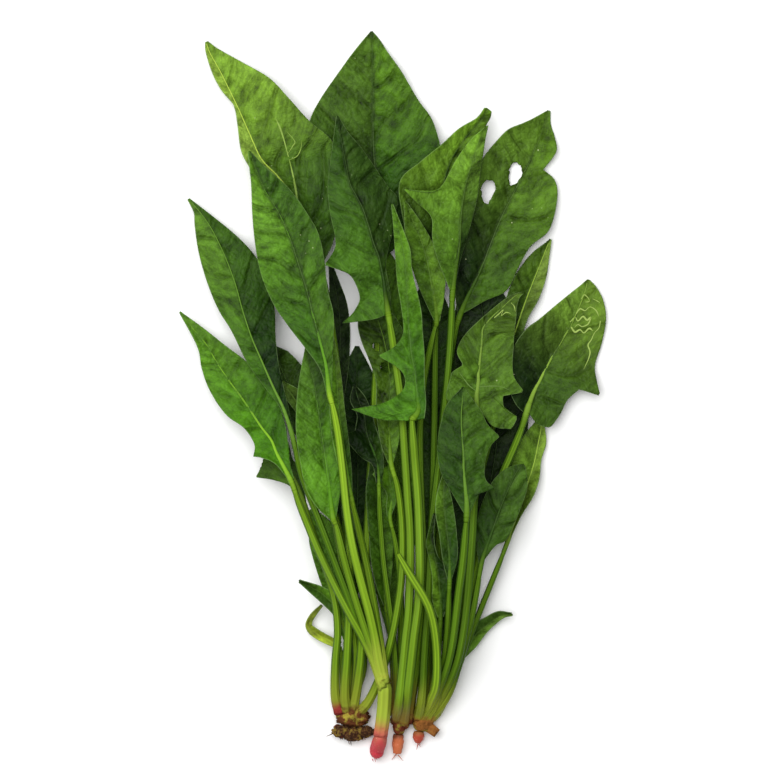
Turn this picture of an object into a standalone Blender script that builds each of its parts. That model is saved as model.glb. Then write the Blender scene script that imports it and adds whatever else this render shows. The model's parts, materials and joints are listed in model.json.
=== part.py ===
"""Bunch of spinach plants lying on a flat surface, in metres, +Z up.

Four rosettes lie with their leaf tips towards +Y and their roots towards -Y.
Every leaf blade is a solid of its own.  The stalks of one plant are fused in
its crown, and every plant has a root.  The leaves are laid one after another,
each sagging on to whatever already lies there, so that nothing crosses.
"""

import math

import bmesh
import bpy
import numpy as np

for old in list(bpy.data.objects):
    bpy.data.objects.remove(old, do_unlink=True)

# Driving dimensions, in millimetres
BLADE_THICK = 0.80
BLADE_GAP = 0.35
CELL = 1.0
ROOT_GAP = 0.35
CROWN_HALF_HEIGHT = 4.6
STALK_SIDES = 6
NECK_RADIUS = 3.2
MERGE_NEAR = {"a": 9.0, "b": 34.0, "c": 9.0, "d": 9.0}
MERGE_FAR = {"a": 50.0, "b": 85.0, "c": 50.0, "d": 50.0}
MERGE_DEPTH = 10.0
FIELD_X = (-120.0, 120.0)
FIELD_Y = (-195.0, 195.0)
SHIFT_X = 0.6
SHIFT_Y = -0.25

# Crown centres of the four plants: x, y, half width across
CROWNS = {
    "a": (-20.5, -160.8, 9.0),
    "b": (-5.2, -163.0, 3.2),
    "c": (2.6, -165.0, 3.4),
    "d": (14.0, -163.5, 5.0),
}
NECK = [(-6.8, -170.0), (-5.4, -160.0), (-4.6, -149.0), (-5.0, -139.5)]

# Blade outlines, base to tip: x, y of the left edge, of the rib, of the right edge
TOP_CENTRE = [
    (-8.0, 68.5, -6.5, 68.5, -5.0, 68.5), (-21.0, 77.5, -7.0, 78.5, 7.0, 79.5),
    (-34.0, 93.5, -7.5, 91.5, 18.0, 95.0), (-41.0, 111.5, -8.5, 105.5, 24.0, 111.5),
    (-43.5, 125.5, -10.0, 118.5, 23.5, 122.5), (-42.0, 137.0, -10.5, 131.5, 19.0, 137.5),
    (-37.0, 147.5, -10.5, 144.5, 12.0, 147.5), (-28.5, 160.0, -10.5, 156.5, 4.0, 161.0),
    (-22.0, 169.0, -10.5, 167.5, -3.0, 171.0), (-16.0, 176.5, -11.0, 176.5, -7.0, 177.5),
    (-11.6, 181.5, -11.0, 182.0, -10.4, 181.5),
]
TOP_LEFT = [
    (-39.0, 66.5, -37.0, 66.5, -35.0, 66.5), (-52.0, 80.0, -43.0, 83.5, -30.0, 77.5),
    (-63.0, 95.0, -49.5, 97.5, -28.0, 95.0), (-71.0, 111.5, -58.0, 109.0, -28.5, 112.5),
    (-76.0, 121.5, -66.0, 117.5, -30.5, 126.0), (-78.0, 135.0, -71.5, 129.0, -42.5, 137.0),
    (-80.0, 144.5, -77.0, 141.5, -52.0, 147.5), (-86.0, 152.0, -82.0, 152.0, -62.0, 158.0),
    (-90.5, 160.5, -87.0, 162.0, -74.5, 165.5), (-94.0, 171.0, -92.0, 171.0, -87.0, 172.5),
    (-94.5, 176.0, -94.0, 176.6, -93.0, 176.5),
]
LEFT_UPPER = [
    (-51.0, -20.5, -50.0, -21.0, -49.0, -21.0), (-56.5, -6.5, -54.5, -7.5, -52.0, -7.5),
    (-64.0, 3.5, -60.0, 4.0, -55.0, 5.0), (-73.0, 16.0, -66.0, 17.5, -57.5, 16.5),
    (-81.0, 32.0, -71.0, 29.0, -59.0, 30.0), (-87.5, 42.5, -75.5, 42.5, -59.5, 42.5),
    (-93.0, 55.5, -79.0, 55.0, -63.0, 57.5), (-97.5, 71.0, -84.0, 68.5, -69.0, 69.0),
    (-99.5, 84.5, -90.0, 81.0, -78.0, 79.0), (-100.0, 91.0, -95.5, 89.5, -89.5, 88.5),
    (-103.2, 97.5, -102.7, 98.0, -102.0, 98.2),
]
LEFT_FRONT = [
    (-33.3, -0.5, -32.0, -1.0, -30.7, -0.5), (-36.5, 12.5, -33.5, 13.5, -30.5, 14.5),
    (-44.5, 24.0, -36.5, 26.0, -30.0, 27.5), (-53.0, 35.0, -40.0, 39.0, -30.0, 40.0),
    (-60.0, 45.5, -43.5, 52.5, -33.0, 52.5), (-66.0, 60.0, -48.0, 66.5, -34.5, 66.5),
    (-69.0, 75.0, -52.0, 78.5, -37.5, 80.0), (-70.5, 90.0, -57.5, 91.0, -43.0, 90.0),
    (-71.0, 103.5, -63.5, 100.5, -52.0, 102.5), (-72.0, 114.5, -68.5, 111.5, -64.0, 113.5),
    (-72.7, 121.0, -72.0, 121.6, -71.3, 121.2),
]
LEFT_LOWER = [
    (-52.0, -42.5, -50.5, -43.5, -49.6, -41.5), (-59.0, -34.0, -55.0, -35.0, -51.5, -34.0),
    (-66.0, -31.0, -58.5, -28.5, -52.0, -27.5), (-70.0, -30.5, -61.0, -22.5, -53.0, -21.5),
    (-69.5, -24.5, -66.0, -16.0, -54.0, -15.0), (-74.5, -16.5, -71.0, -8.5, -56.5, -6.5),
    (-84.0, -9.5, -76.5, -0.5, -60.0, 1.5), (-92.0, 2.5, -82.5, 7.5, -66.0, 8.5),
    (-96.0, 13.5, -88.5, 16.5, -74.0, 17.0), (-97.5, 22.5, -93.5, 25.0, -84.5, 25.0),
    (-102.0, 32.0, -99.5, 32.0, -94.5, 33.0), (-107.2, 41.0, -107.0, 41.7, -106.2, 41.5),
]
CENTRE_LOBED = [
    (-5.0, 39.5, -3.0, 40.5, -1.5, 41.0), (-11.0, 37.5, -3.5, 44.5, -1.5, 46.0),
    (-26.0, 35.5, -4.5, 51.0, -2.0, 52.0), (-20.0, 41.5, -5.0, 56.0, -3.0, 57.5),
    (-17.0, 48.5, -6.0, 61.5, -4.0, 63.5), (-21.0, 58.5, -7.5, 68.5, -3.0, 71.5),
    (-27.0, 62.0, -10.5, 76.5, -0.5, 81.5), (-34.5, 64.5, -12.5, 83.5, 1.0, 90.5),
    (-29.5, 72.5, -15.5, 92.5, 1.5, 98.5), (-29.5, 79.5, -19.0, 99.5, -3.0, 104.0),
    (-32.0, 91.5, -22.0, 105.5, -8.0, 111.5), (-33.0, 103.5, -24.5, 117.5, -16.0, 123.0),
    (-31.5, 117.5, -26.5, 128.5, -22.5, 130.5), (-28.7, 138.5, -28.0, 139.2, -27.3, 138.5),
]
CREST_BACK = [
    (19.8, 49.5, 21.0, 49.0, 22.2, 49.5), (9.0, 70.0, 20.0, 66.5, 28.0, 68.5),
    (4.0, 90.0, 21.0, 83.5, 32.5, 86.5), (3.0, 106.5, 23.5, 100.0, 36.0, 102.5),
    (13.0, 116.0, 27.5, 114.5, 40.0, 117.5), (23.5, 124.5, 33.0, 124.5, 43.0, 127.5),
    (32.0, 132.5, 39.0, 132.5, 46.0, 134.5), (41.0, 138.0, 44.0, 138.0, 48.0, 138.0),
    (45.0, 143.0, 46.5, 143.0, 48.5, 141.0),
]
CREST_FRONT = [
    (27.7, 52.5, 29.0, 52.0, 30.3, 52.8), (22.0, 66.5, 31.0, 64.5, 33.0, 66.5),
    (19.0, 77.5, 32.5, 74.5, 36.0, 76.5), (18.5, 88.5, 33.0, 82.5, 38.5, 85.5),
    (11.0, 96.0, 33.5, 90.5, 40.5, 93.5), (4.5, 102.5, 34.5, 98.0, 42.0, 101.0),
    (18.0, 101.0, 36.0, 105.5, 43.0, 109.0), (24.0, 104.5, 38.0, 112.5, 44.0, 116.5),
    (30.5, 116.5, 40.5, 120.5, 45.0, 123.5), (38.0, 127.0, 43.0, 128.0, 46.0, 129.5),
    (45.0, 133.0, 46.0, 134.0, 47.0, 134.2),
]
CENTRE_FOLDED = [
    (5.0, -12.5, 9.0, -12.5, 15.0, -11.5), (-7.0, -12.0, 12.0, -8.0, 15.7, -5.5),
    (-21.5, -7.0, 12.0, -3.5, 15.7, -0.5), (-7.0, -4.5, 11.5, 1.0, 15.2, 4.5),
    (3.0, 1.0, 11.0, 5.5, 15.0, 9.5), (5.5, 7.0, 10.5, 10.5, 15.0, 15.5),
    (2.5, 13.0, 9.5, 16.0, 15.0, 21.5), (-8.0, 19.5, 8.5, 21.5, 14.5, 27.5),
    (0.0, 24.0, 8.0, 27.0, 14.0, 34.0), (4.5, 31.0, 7.0, 34.5, 13.5, 41.0),
    (3.5, 43.5, 6.5, 46.0, 12.0, 49.0), (1.5, 56.0, 6.0, 58.5, 9.0, 61.5),
    (0.5, 70.0, 4.5, 71.5, 8.0, 72.5), (-0.5, 84.5, 2.0, 84.5, 4.0, 83.5),
    (-1.5, 94.5, -1.0, 95.2, -0.5, 94.5),
]
CENTRE_YELLOW = [
    (20.2, 36.5, 21.5, 36.0, 22.8, 37.0), (15.0, 47.5, 20.5, 46.0, 25.0, 48.5),
    (10.5, 58.5, 18.5, 56.0, 25.5, 59.5), (7.5, 68.5, 16.5, 66.5, 23.0, 69.5),
    (5.5, 78.5, 13.5, 77.0, 18.0, 78.5), (5.0, 87.5, 9.0, 87.5, 12.5, 87.5),
    (4.8, 96.0, 5.5, 96.7, 6.2, 96.0),
]
RIGHT_HOLED = [
    (31.5, 41.5, 33.0, 40.5, 35.0, 41.0), (30.5, 52.5, 36.0, 47.5, 45.5, 47.0),
    (31.0, 65.0, 40.0, 55.5, 56.0, 52.0), (33.5, 77.5, 44.5, 65.5, 62.0, 63.5),
    (36.0, 90.0, 49.0, 77.5, 68.0, 74.0), (38.5, 102.5, 54.0, 89.5, 77.5, 82.5),
    (41.5, 112.0, 59.0, 99.5, 81.5, 97.5), (45.0, 119.0, 63.0, 107.0, 80.5, 107.0),
    (50.5, 126.0, 67.0, 115.0, 74.5, 112.5), (57.0, 132.5, 70.5, 123.0, 81.0, 121.5),
    (64.0, 135.5, 73.5, 130.5, 80.5, 128.5), (70.0, 138.5, 75.5, 136.5, 78.5, 135.0),
    (76.7, 142.0, 77.5, 142.3, 78.2, 141.7),
]
RIGHT_BEHIND = [
    (52.5, 8.5, 54.0, 7.5, 55.5, 8.0), (51.0, 22.5, 57.0, 21.5, 62.0, 22.5),
    (52.5, 36.5, 61.5, 34.5, 66.5, 37.5), (56.0, 48.5, 66.0, 47.5, 72.0, 47.5),
    (60.5, 59.5, 70.5, 59.0, 76.0, 58.5), (68.0, 70.0, 74.5, 69.0, 77.5, 68.5),
    (77.3, 77.3, 78.0, 78.0, 78.6, 77.3),
]
RIGHT_MINED = [
    (64.5, -8.5, 66.0, -9.0, 67.5, -9.5), (61.0, -5.0, 67.0, -5.5, 71.5, -14.5),
    (58.0, 1.0, 68.5, -1.5, 78.0, -16.5), (57.0, 8.5, 70.5, 3.0, 83.0, -9.5),
    (57.5, 15.5, 73.0, 7.5, 86.5, -2.5), (59.0, 22.0, 76.0, 13.5, 92.5, 3.0),
    (62.0, 28.0, 79.0, 19.0, 103.0, -0.5), (66.5, 33.5, 82.0, 24.0, 101.0, 8.5),
    (72.0, 37.5, 85.0, 29.0, 100.5, 15.5), (78.0, 42.5, 88.0, 34.0, 104.0, 26.5),
    (84.0, 47.5, 91.0, 40.5, 106.0, 38.5), (89.5, 52.0, 94.0, 47.5, 104.5, 47.5),
    (93.5, 55.0, 96.0, 53.5, 101.0, 54.0), (96.3, 57.3, 97.0, 57.8, 97.8, 57.3),
]
RIGHT_BARBED = [
    (39.0, -6.5, 41.0, -7.0, 43.0, -7.0), (30.5, -6.5, 41.0, -4.0, 49.0, -15.5),
    (26.0, -1.5, 41.0, -0.5, 58.5, -17.0), (26.5, 3.5, 41.5, 3.0, 61.5, -11.0),
    (28.0, 8.5, 42.0, 7.0, 54.5, -6.5), (29.0, 11.5, 42.0, 10.5, 54.0, -0.5),
    (34.5, 15.0, 42.5, 14.5, 65.0, 1.5), (31.5, 20.5, 43.0, 19.0, 60.0, 8.5),
    (32.0, 24.5, 43.5, 23.5, 59.0, 15.5), (34.5, 29.0, 44.0, 28.5, 59.5, 23.5),
    (38.5, 33.5, 44.5, 33.5, 60.0, 31.5), (45.0, 39.5, 49.0, 39.0, 61.0, 38.5),
    (52.0, 45.5, 54.5, 44.0, 61.5, 44.5), (58.5, 50.0, 60.0, 49.0, 63.0, 49.0),
    (63.3, 51.2, 64.0, 51.2, 64.6, 50.6),
]
RIGHT_FRONT = [
    (34.5, -58.5, 36.0, -59.0, 37.5, -58.5), (31.0, -52.5, 36.0, -53.0, 42.0, -48.5),
    (27.5, -46.5, 35.5, -48.0, 50.5, -46.5), (24.0, -40.5, 35.0, -42.5, 45.5, -42.0),
    (22.0, -33.5, 34.5, -36.5, 45.0, -34.5), (21.5, -26.5, 34.5, -30.0, 47.5, -26.0),
    (22.0, -19.5, 34.0, -23.0, 52.5, -20.5), (23.5, -12.5, 33.5, -15.5, 46.5, -14.5),
    (25.5, -6.0, 33.5, -8.5, 43.5, -8.0), (29.0, -1.0, 34.0, -2.5, 39.0, -2.0),
    (33.7, 3.5, 34.5, 4.2, 35.3, 3.5),
]
RIGHT_DARK = [
    (42.0, -83.5, 43.0, -84.0, 44.5, -82.5), (41.0, -75.0, 45.5, -77.0, 50.5, -75.0),
    (41.0, -66.5, 48.0, -70.0, 56.0, -72.0), (42.5, -57.5, 51.0, -61.5, 60.5, -62.5),
    (46.0, -48.5, 54.0, -53.5, 64.0, -54.0), (50.5, -41.0, 57.5, -45.5, 66.5, -45.5),
    (57.0, -36.0, 61.0, -38.5, 66.0, -39.5), (63.3, -34.3, 64.5, -34.3, 65.5, -35.5),
]
RIGHT_PALE = [
    (55.0, -73.0, 56.5, -73.5, 58.0, -72.0), (55.0, -62.5, 60.0, -64.5, 63.5, -60.0),
    (56.0, -52.5, 63.5, -53.5, 69.5, -50.5), (57.0, -42.5, 67.0, -43.5, 72.5, -41.5),
    (59.5, -31.5, 70.0, -34.0, 73.5, -32.5), (64.0, -21.5, 72.0, -24.5, 76.0, -24.5),
    (69.5, -14.5, 73.5, -16.5, 75.5, -17.5), (72.8, -10.5, 73.5, -10.0, 74.2, -10.5),
]
LEFT_LONG = [
    (-31.5, -61.5, -30.0, -62.5, -28.7, -60.5), (-38.5, -55.0, -31.0, -55.0, -27.5, -53.5),
    (-43.5, -46.5, -32.0, -46.0, -26.0, -43.5), (-46.5, -33.5, -33.5, -34.5, -26.5, -31.5),
    (-48.5, -20.0, -35.5, -22.5, -28.5, -19.5), (-48.5, -6.5, -37.5, -8.5, -31.0, -6.5),
    (-47.5, 5.0, -39.5, 5.0, -34.0, 5.5), (-46.0, 14.5, -42.0, 14.5, -38.0, 15.0),
    (-44.2, 23.0, -43.5, 23.8, -42.6, 23.0),
]
LEFT_NARROW = [
    (-22.3, -50.5, -21.5, -51.0, -20.5, -50.5), (-27.0, -37.5, -23.5, -38.0, -21.0, -36.5),
    (-30.5, -22.5, -25.5, -23.0, -22.5, -21.5), (-32.0, -7.5, -27.5, -7.5, -24.5, -6.0),
    (-32.5, 7.5, -28.5, 7.5, -26.0, 8.5), (-32.0, 20.0, -29.5, 20.0, -28.0, 20.5),
    (-31.6, 31.0, -31.0, 31.6, -30.4, 31.0),
]
OLD_HOLED = [
    (-3.0, -34.0, -1.5, -35.5, -0.3, -33.5), (-6.0, -26.5, -2.0, -27.5, 2.0, -25.0),
    (-8.0, -16.5, -2.5, -17.5, 3.5, -15.0), (-9.0, -5.0, -2.5, -6.0, 6.0, -3.5),
    (-9.0, 6.5, -2.0, 5.5, 7.5, 8.5), (-12.5, 17.5, -3.0, 17.0, 7.5, 19.5),
    (-16.5, 27.5, -5.0, 27.5, 5.5, 29.5), (-18.0, 36.5, -8.0, 37.5, 1.0, 38.5),
    (-15.0, 45.0, -10.5, 46.0, -6.0, 46.0), (-12.6, 51.5, -12.0, 52.2, -11.4, 51.5),
]
CENTRE_CURLY = [
    (-9.0, -43.5, -7.5, -44.5, -6.0, -43.5), (-11.0, -34.5, -8.0, -35.5, -5.0, -33.5),
    (-17.0, -30.5, -10.0, -28.5, -6.0, -26.5), (-26.0, -19.5, -12.5, -22.5, -7.5, -20.5),
    (-19.5, -18.0, -14.0, -16.5, -9.5, -14.5), (-18.5, -10.0, -15.0, -9.5, -11.0, -8.5),
    (-22.0, -2.5, -18.0, -1.5, -14.0, -1.5), (-20.5, 4.0, -19.5, 4.8, -18.5, 4.2),
]
CENTRE_LOW = [
    (-5.3, -104.5, -4.0, -105.5, -2.8, -104.0), (-9.0, -94.5, -5.0, -95.0, -1.5, -92.5),
    (-11.5, -82.5, -5.5, -83.0, -0.5, -80.5), (-12.5, -70.0, -6.0, -70.5, -0.5, -68.0),
    (-13.5, -57.5, -6.5, -58.0, -1.5, -55.5), (-14.0, -46.5, -8.0, -47.0, -3.5, -44.5),
    (-12.5, -38.0, -10.0, -38.0, -7.0, -37.0), (-12.1, -32.5, -11.5, -31.8, -10.9, -32.5),
]
CENTRE_YOUNG = [
    (-3.6, -60.5, -2.5, -61.5, -1.4, -60.0), (-4.0, -55.0, -1.5, -55.0, 1.0, -53.5),
    (-4.0, -48.5, -1.0, -48.5, 1.5, -46.5), (-11.0, -39.0, -2.0, -42.5, 0.8, -40.5),
    (-3.8, -35.6, -3.0, -34.8, -2.2, -35.6),
]
CRUMPLED = [
    (21.7, -110.5, 23.0, -111.0, 24.5, -110.0), (19.0, -102.5, 23.0, -103.5, 27.5, -100.5),
    (19.0, -95.0, 22.5, -95.5, 27.0, -94.5), (18.5, -87.5, 21.5, -87.5, 29.0, -86.5),
    (16.5, -77.5, 19.5, -77.5, 22.0, -80.5), (16.0, -72.5, 18.0, -70.0, 19.8, -70.0),
    (19.4, -59.5, 20.0, -58.7, 20.6, -59.5),
]
RIGHT_NARROW = [
    (26.4, -91.5, 27.5, -92.5, 28.6, -91.5), (24.0, -81.5, 27.5, -82.0, 31.5, -80.5),
    (22.5, -70.0, 26.5, -70.5, 31.0, -68.5), (20.5, -57.5, 25.0, -58.0, 29.5, -56.0),
    (21.5, -47.5, 24.5, -47.5, 27.5, -46.5), (24.4, -39.0, 25.0, -38.3, 25.6, -39.0),
]
LOW_RIGHT = [
    (33.5, -128.8, 34.5, -130.0, 35.5, -131.2), (35.0, -119.5, 38.5, -123.0, 41.5, -125.0),
    (39.5, -114.5, 43.0, -117.5, 46.0, -119.0), (45.5, -111.0, 48.5, -113.5, 50.5, -114.5),
    (52.0, -108.0, 54.0, -110.0, 55.0, -111.2), (58.4, -108.8, 59.2, -109.5, 58.8, -110.2),
]
LOW_LEFT = [
    (-26.5, -114.7, -25.5, -113.5, -24.5, -112.3), (-30.5, -109.0, -28.5, -106.0, -26.5, -102.5),
    (-35.0, -104.5, -33.0, -101.5, -30.0, -98.5), (-40.0, -100.0, -38.0, -97.5, -36.0, -95.3),
    (-47.2, -93.2, -47.5, -92.4, -46.6, -92.0),
]
LEFT_UNDER = [
    (-45.5, -55.0, -44.5, -54.0, -43.6, -52.5), (-51.0, -46.0, -49.5, -41.5, -47.0, -37.5),
    (-59.5, -42.5, -55.0, -37.5, -50.5, -31.5), (-69.0, -41.0, -60.0, -30.0, -53.0, -22.5),
    (-64.0, -32.0, -65.0, -20.0, -58.0, -11.5), (-74.0, -10.5, -74.0, -6.5, -69.0, -2.5),
    (-79.8, 0.0, -79.2, 0.8, -78.4, 1.2),
]
LEFT_DARK = [
    (-38.0, -32.5, -37.0, -33.5, -36.0, -32.0), (-51.0, -17.5, -43.0, -18.5, -38.0, -15.0),
    (-58.0, -2.5, -48.5, -4.5, -40.0, -1.5), (-63.0, 10.0, -54.0, 8.0, -44.0, 11.5),
    (-64.5, 19.5, -58.0, 17.5, -49.0, 18.0), (-62.5, 25.5, -59.0, 24.5, -53.0, 22.0),
]
LEFT_SCRAP = [
    (-41.0, -22.5, -40.0, -23.2, -39.0, -22.5), (-49.0, -8.5, -45.5, -8.5, -41.0, -7.5),
    (-55.0, 0.0, -50.5, -0.5, -45.0, 1.0), (-57.5, 6.5, -56.0, 7.2, -53.5, 6.0),
]

# Narrow blades: points of the rib from base to tip, and the half width at each
WITHERED = (
    [(-27.0, -125.0), (-34.5, -121.5), (-40.5, -118.0), (-43.0, -114.5), (-40.5, -110.0),
     (-36.0, -105.0)],
    [2.0, 2.3, 2.2, 1.5, 1.3, 0.6],
)
UNDER_LEFT = (
    [(-23.5, -122.5), (-28.0, -102.5), (-31.5, -85.0), (-35.5, -69.0), (-41.5, -57.0)],
    [1.3, 4.0, 6.5, 6.5, 0.7],
)
UNDER_CENTRE = (
    [(-21.0, -102.5), (-19.0, -72.5), (-18.0, -37.5), (-18.5, -2.5), (-18.5, 24.5)],
    [1.5, 8.0, 11.0, 11.5, 0.8],
)
UNDER_RIGHT = (
    [(23.0, -122.5), (25.0, -86.0), (21.5, -46.0), (18.5, -6.0), (18.5, 32.0), (17.0, 62.0)],
    [1.5, 9.0, 9.0, 8.5, 8.5, 0.8],
)
UNDER_FAR = (
    [(40.0, -78.0), (47.0, -48.0), (52.0, -18.0), (47.5, 12.0), (44.5, 40.0), (41.0, 66.0)],
    [1.5, 7.0, 9.5, 10.0, 10.5, 0.8],
)
UNDER_TOP = (
    [(-2.0, -119.0), (-3.0, -86.0), (1.5, -48.0), (3.5, -10.0), (1.5, 26.0), (-3.0, 52.5),
     (-7.0, 77.5)],
    [1.3, 6.0, 7.0, 7.0, 7.5, 9.0, 0.8],
)
UNDER_CREST = (
    [(-28.0, -12.5), (-27.0, 17.5), (-27.5, 42.5), (-32.0, 66.5)],
    [1.3, 4.0, 4.0, 0.7],
)

GREEN_BRIGHT = (0.115, 0.235, 0.030)
GREEN_MID = (0.060, 0.160, 0.022)
GREEN_DARK = (0.028, 0.080, 0.014)
GREEN_YELLOW = (0.150, 0.220, 0.030)
STALK_GREEN = (0.230, 0.420, 0.045)
ROOT_RED = (0.480, 0.070, 0.060)
ROOT_ORANGE = (0.560, 0.160, 0.060)
ROOT_BROWN = (0.110, 0.055, 0.025)


def leaf(name, plant, outline, stalk, radii, colour, fold=(0.15, 0.15), wave=(1.5, 2.0, 0.0),
         arch=0.0, tip=0.0, flat=0.0, holes=()):
    """One leaf: its outline, the points of its stalk from the crown, and its relief."""
    return {
        "name": name, "plant": plant, "outline": outline, "stalk": stalk, "radii": radii,
        "colour": colour, "fold": fold, "wave": wave, "arch": arch, "tip": tip, "flat": flat,
        "holes": holes,
    }


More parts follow.
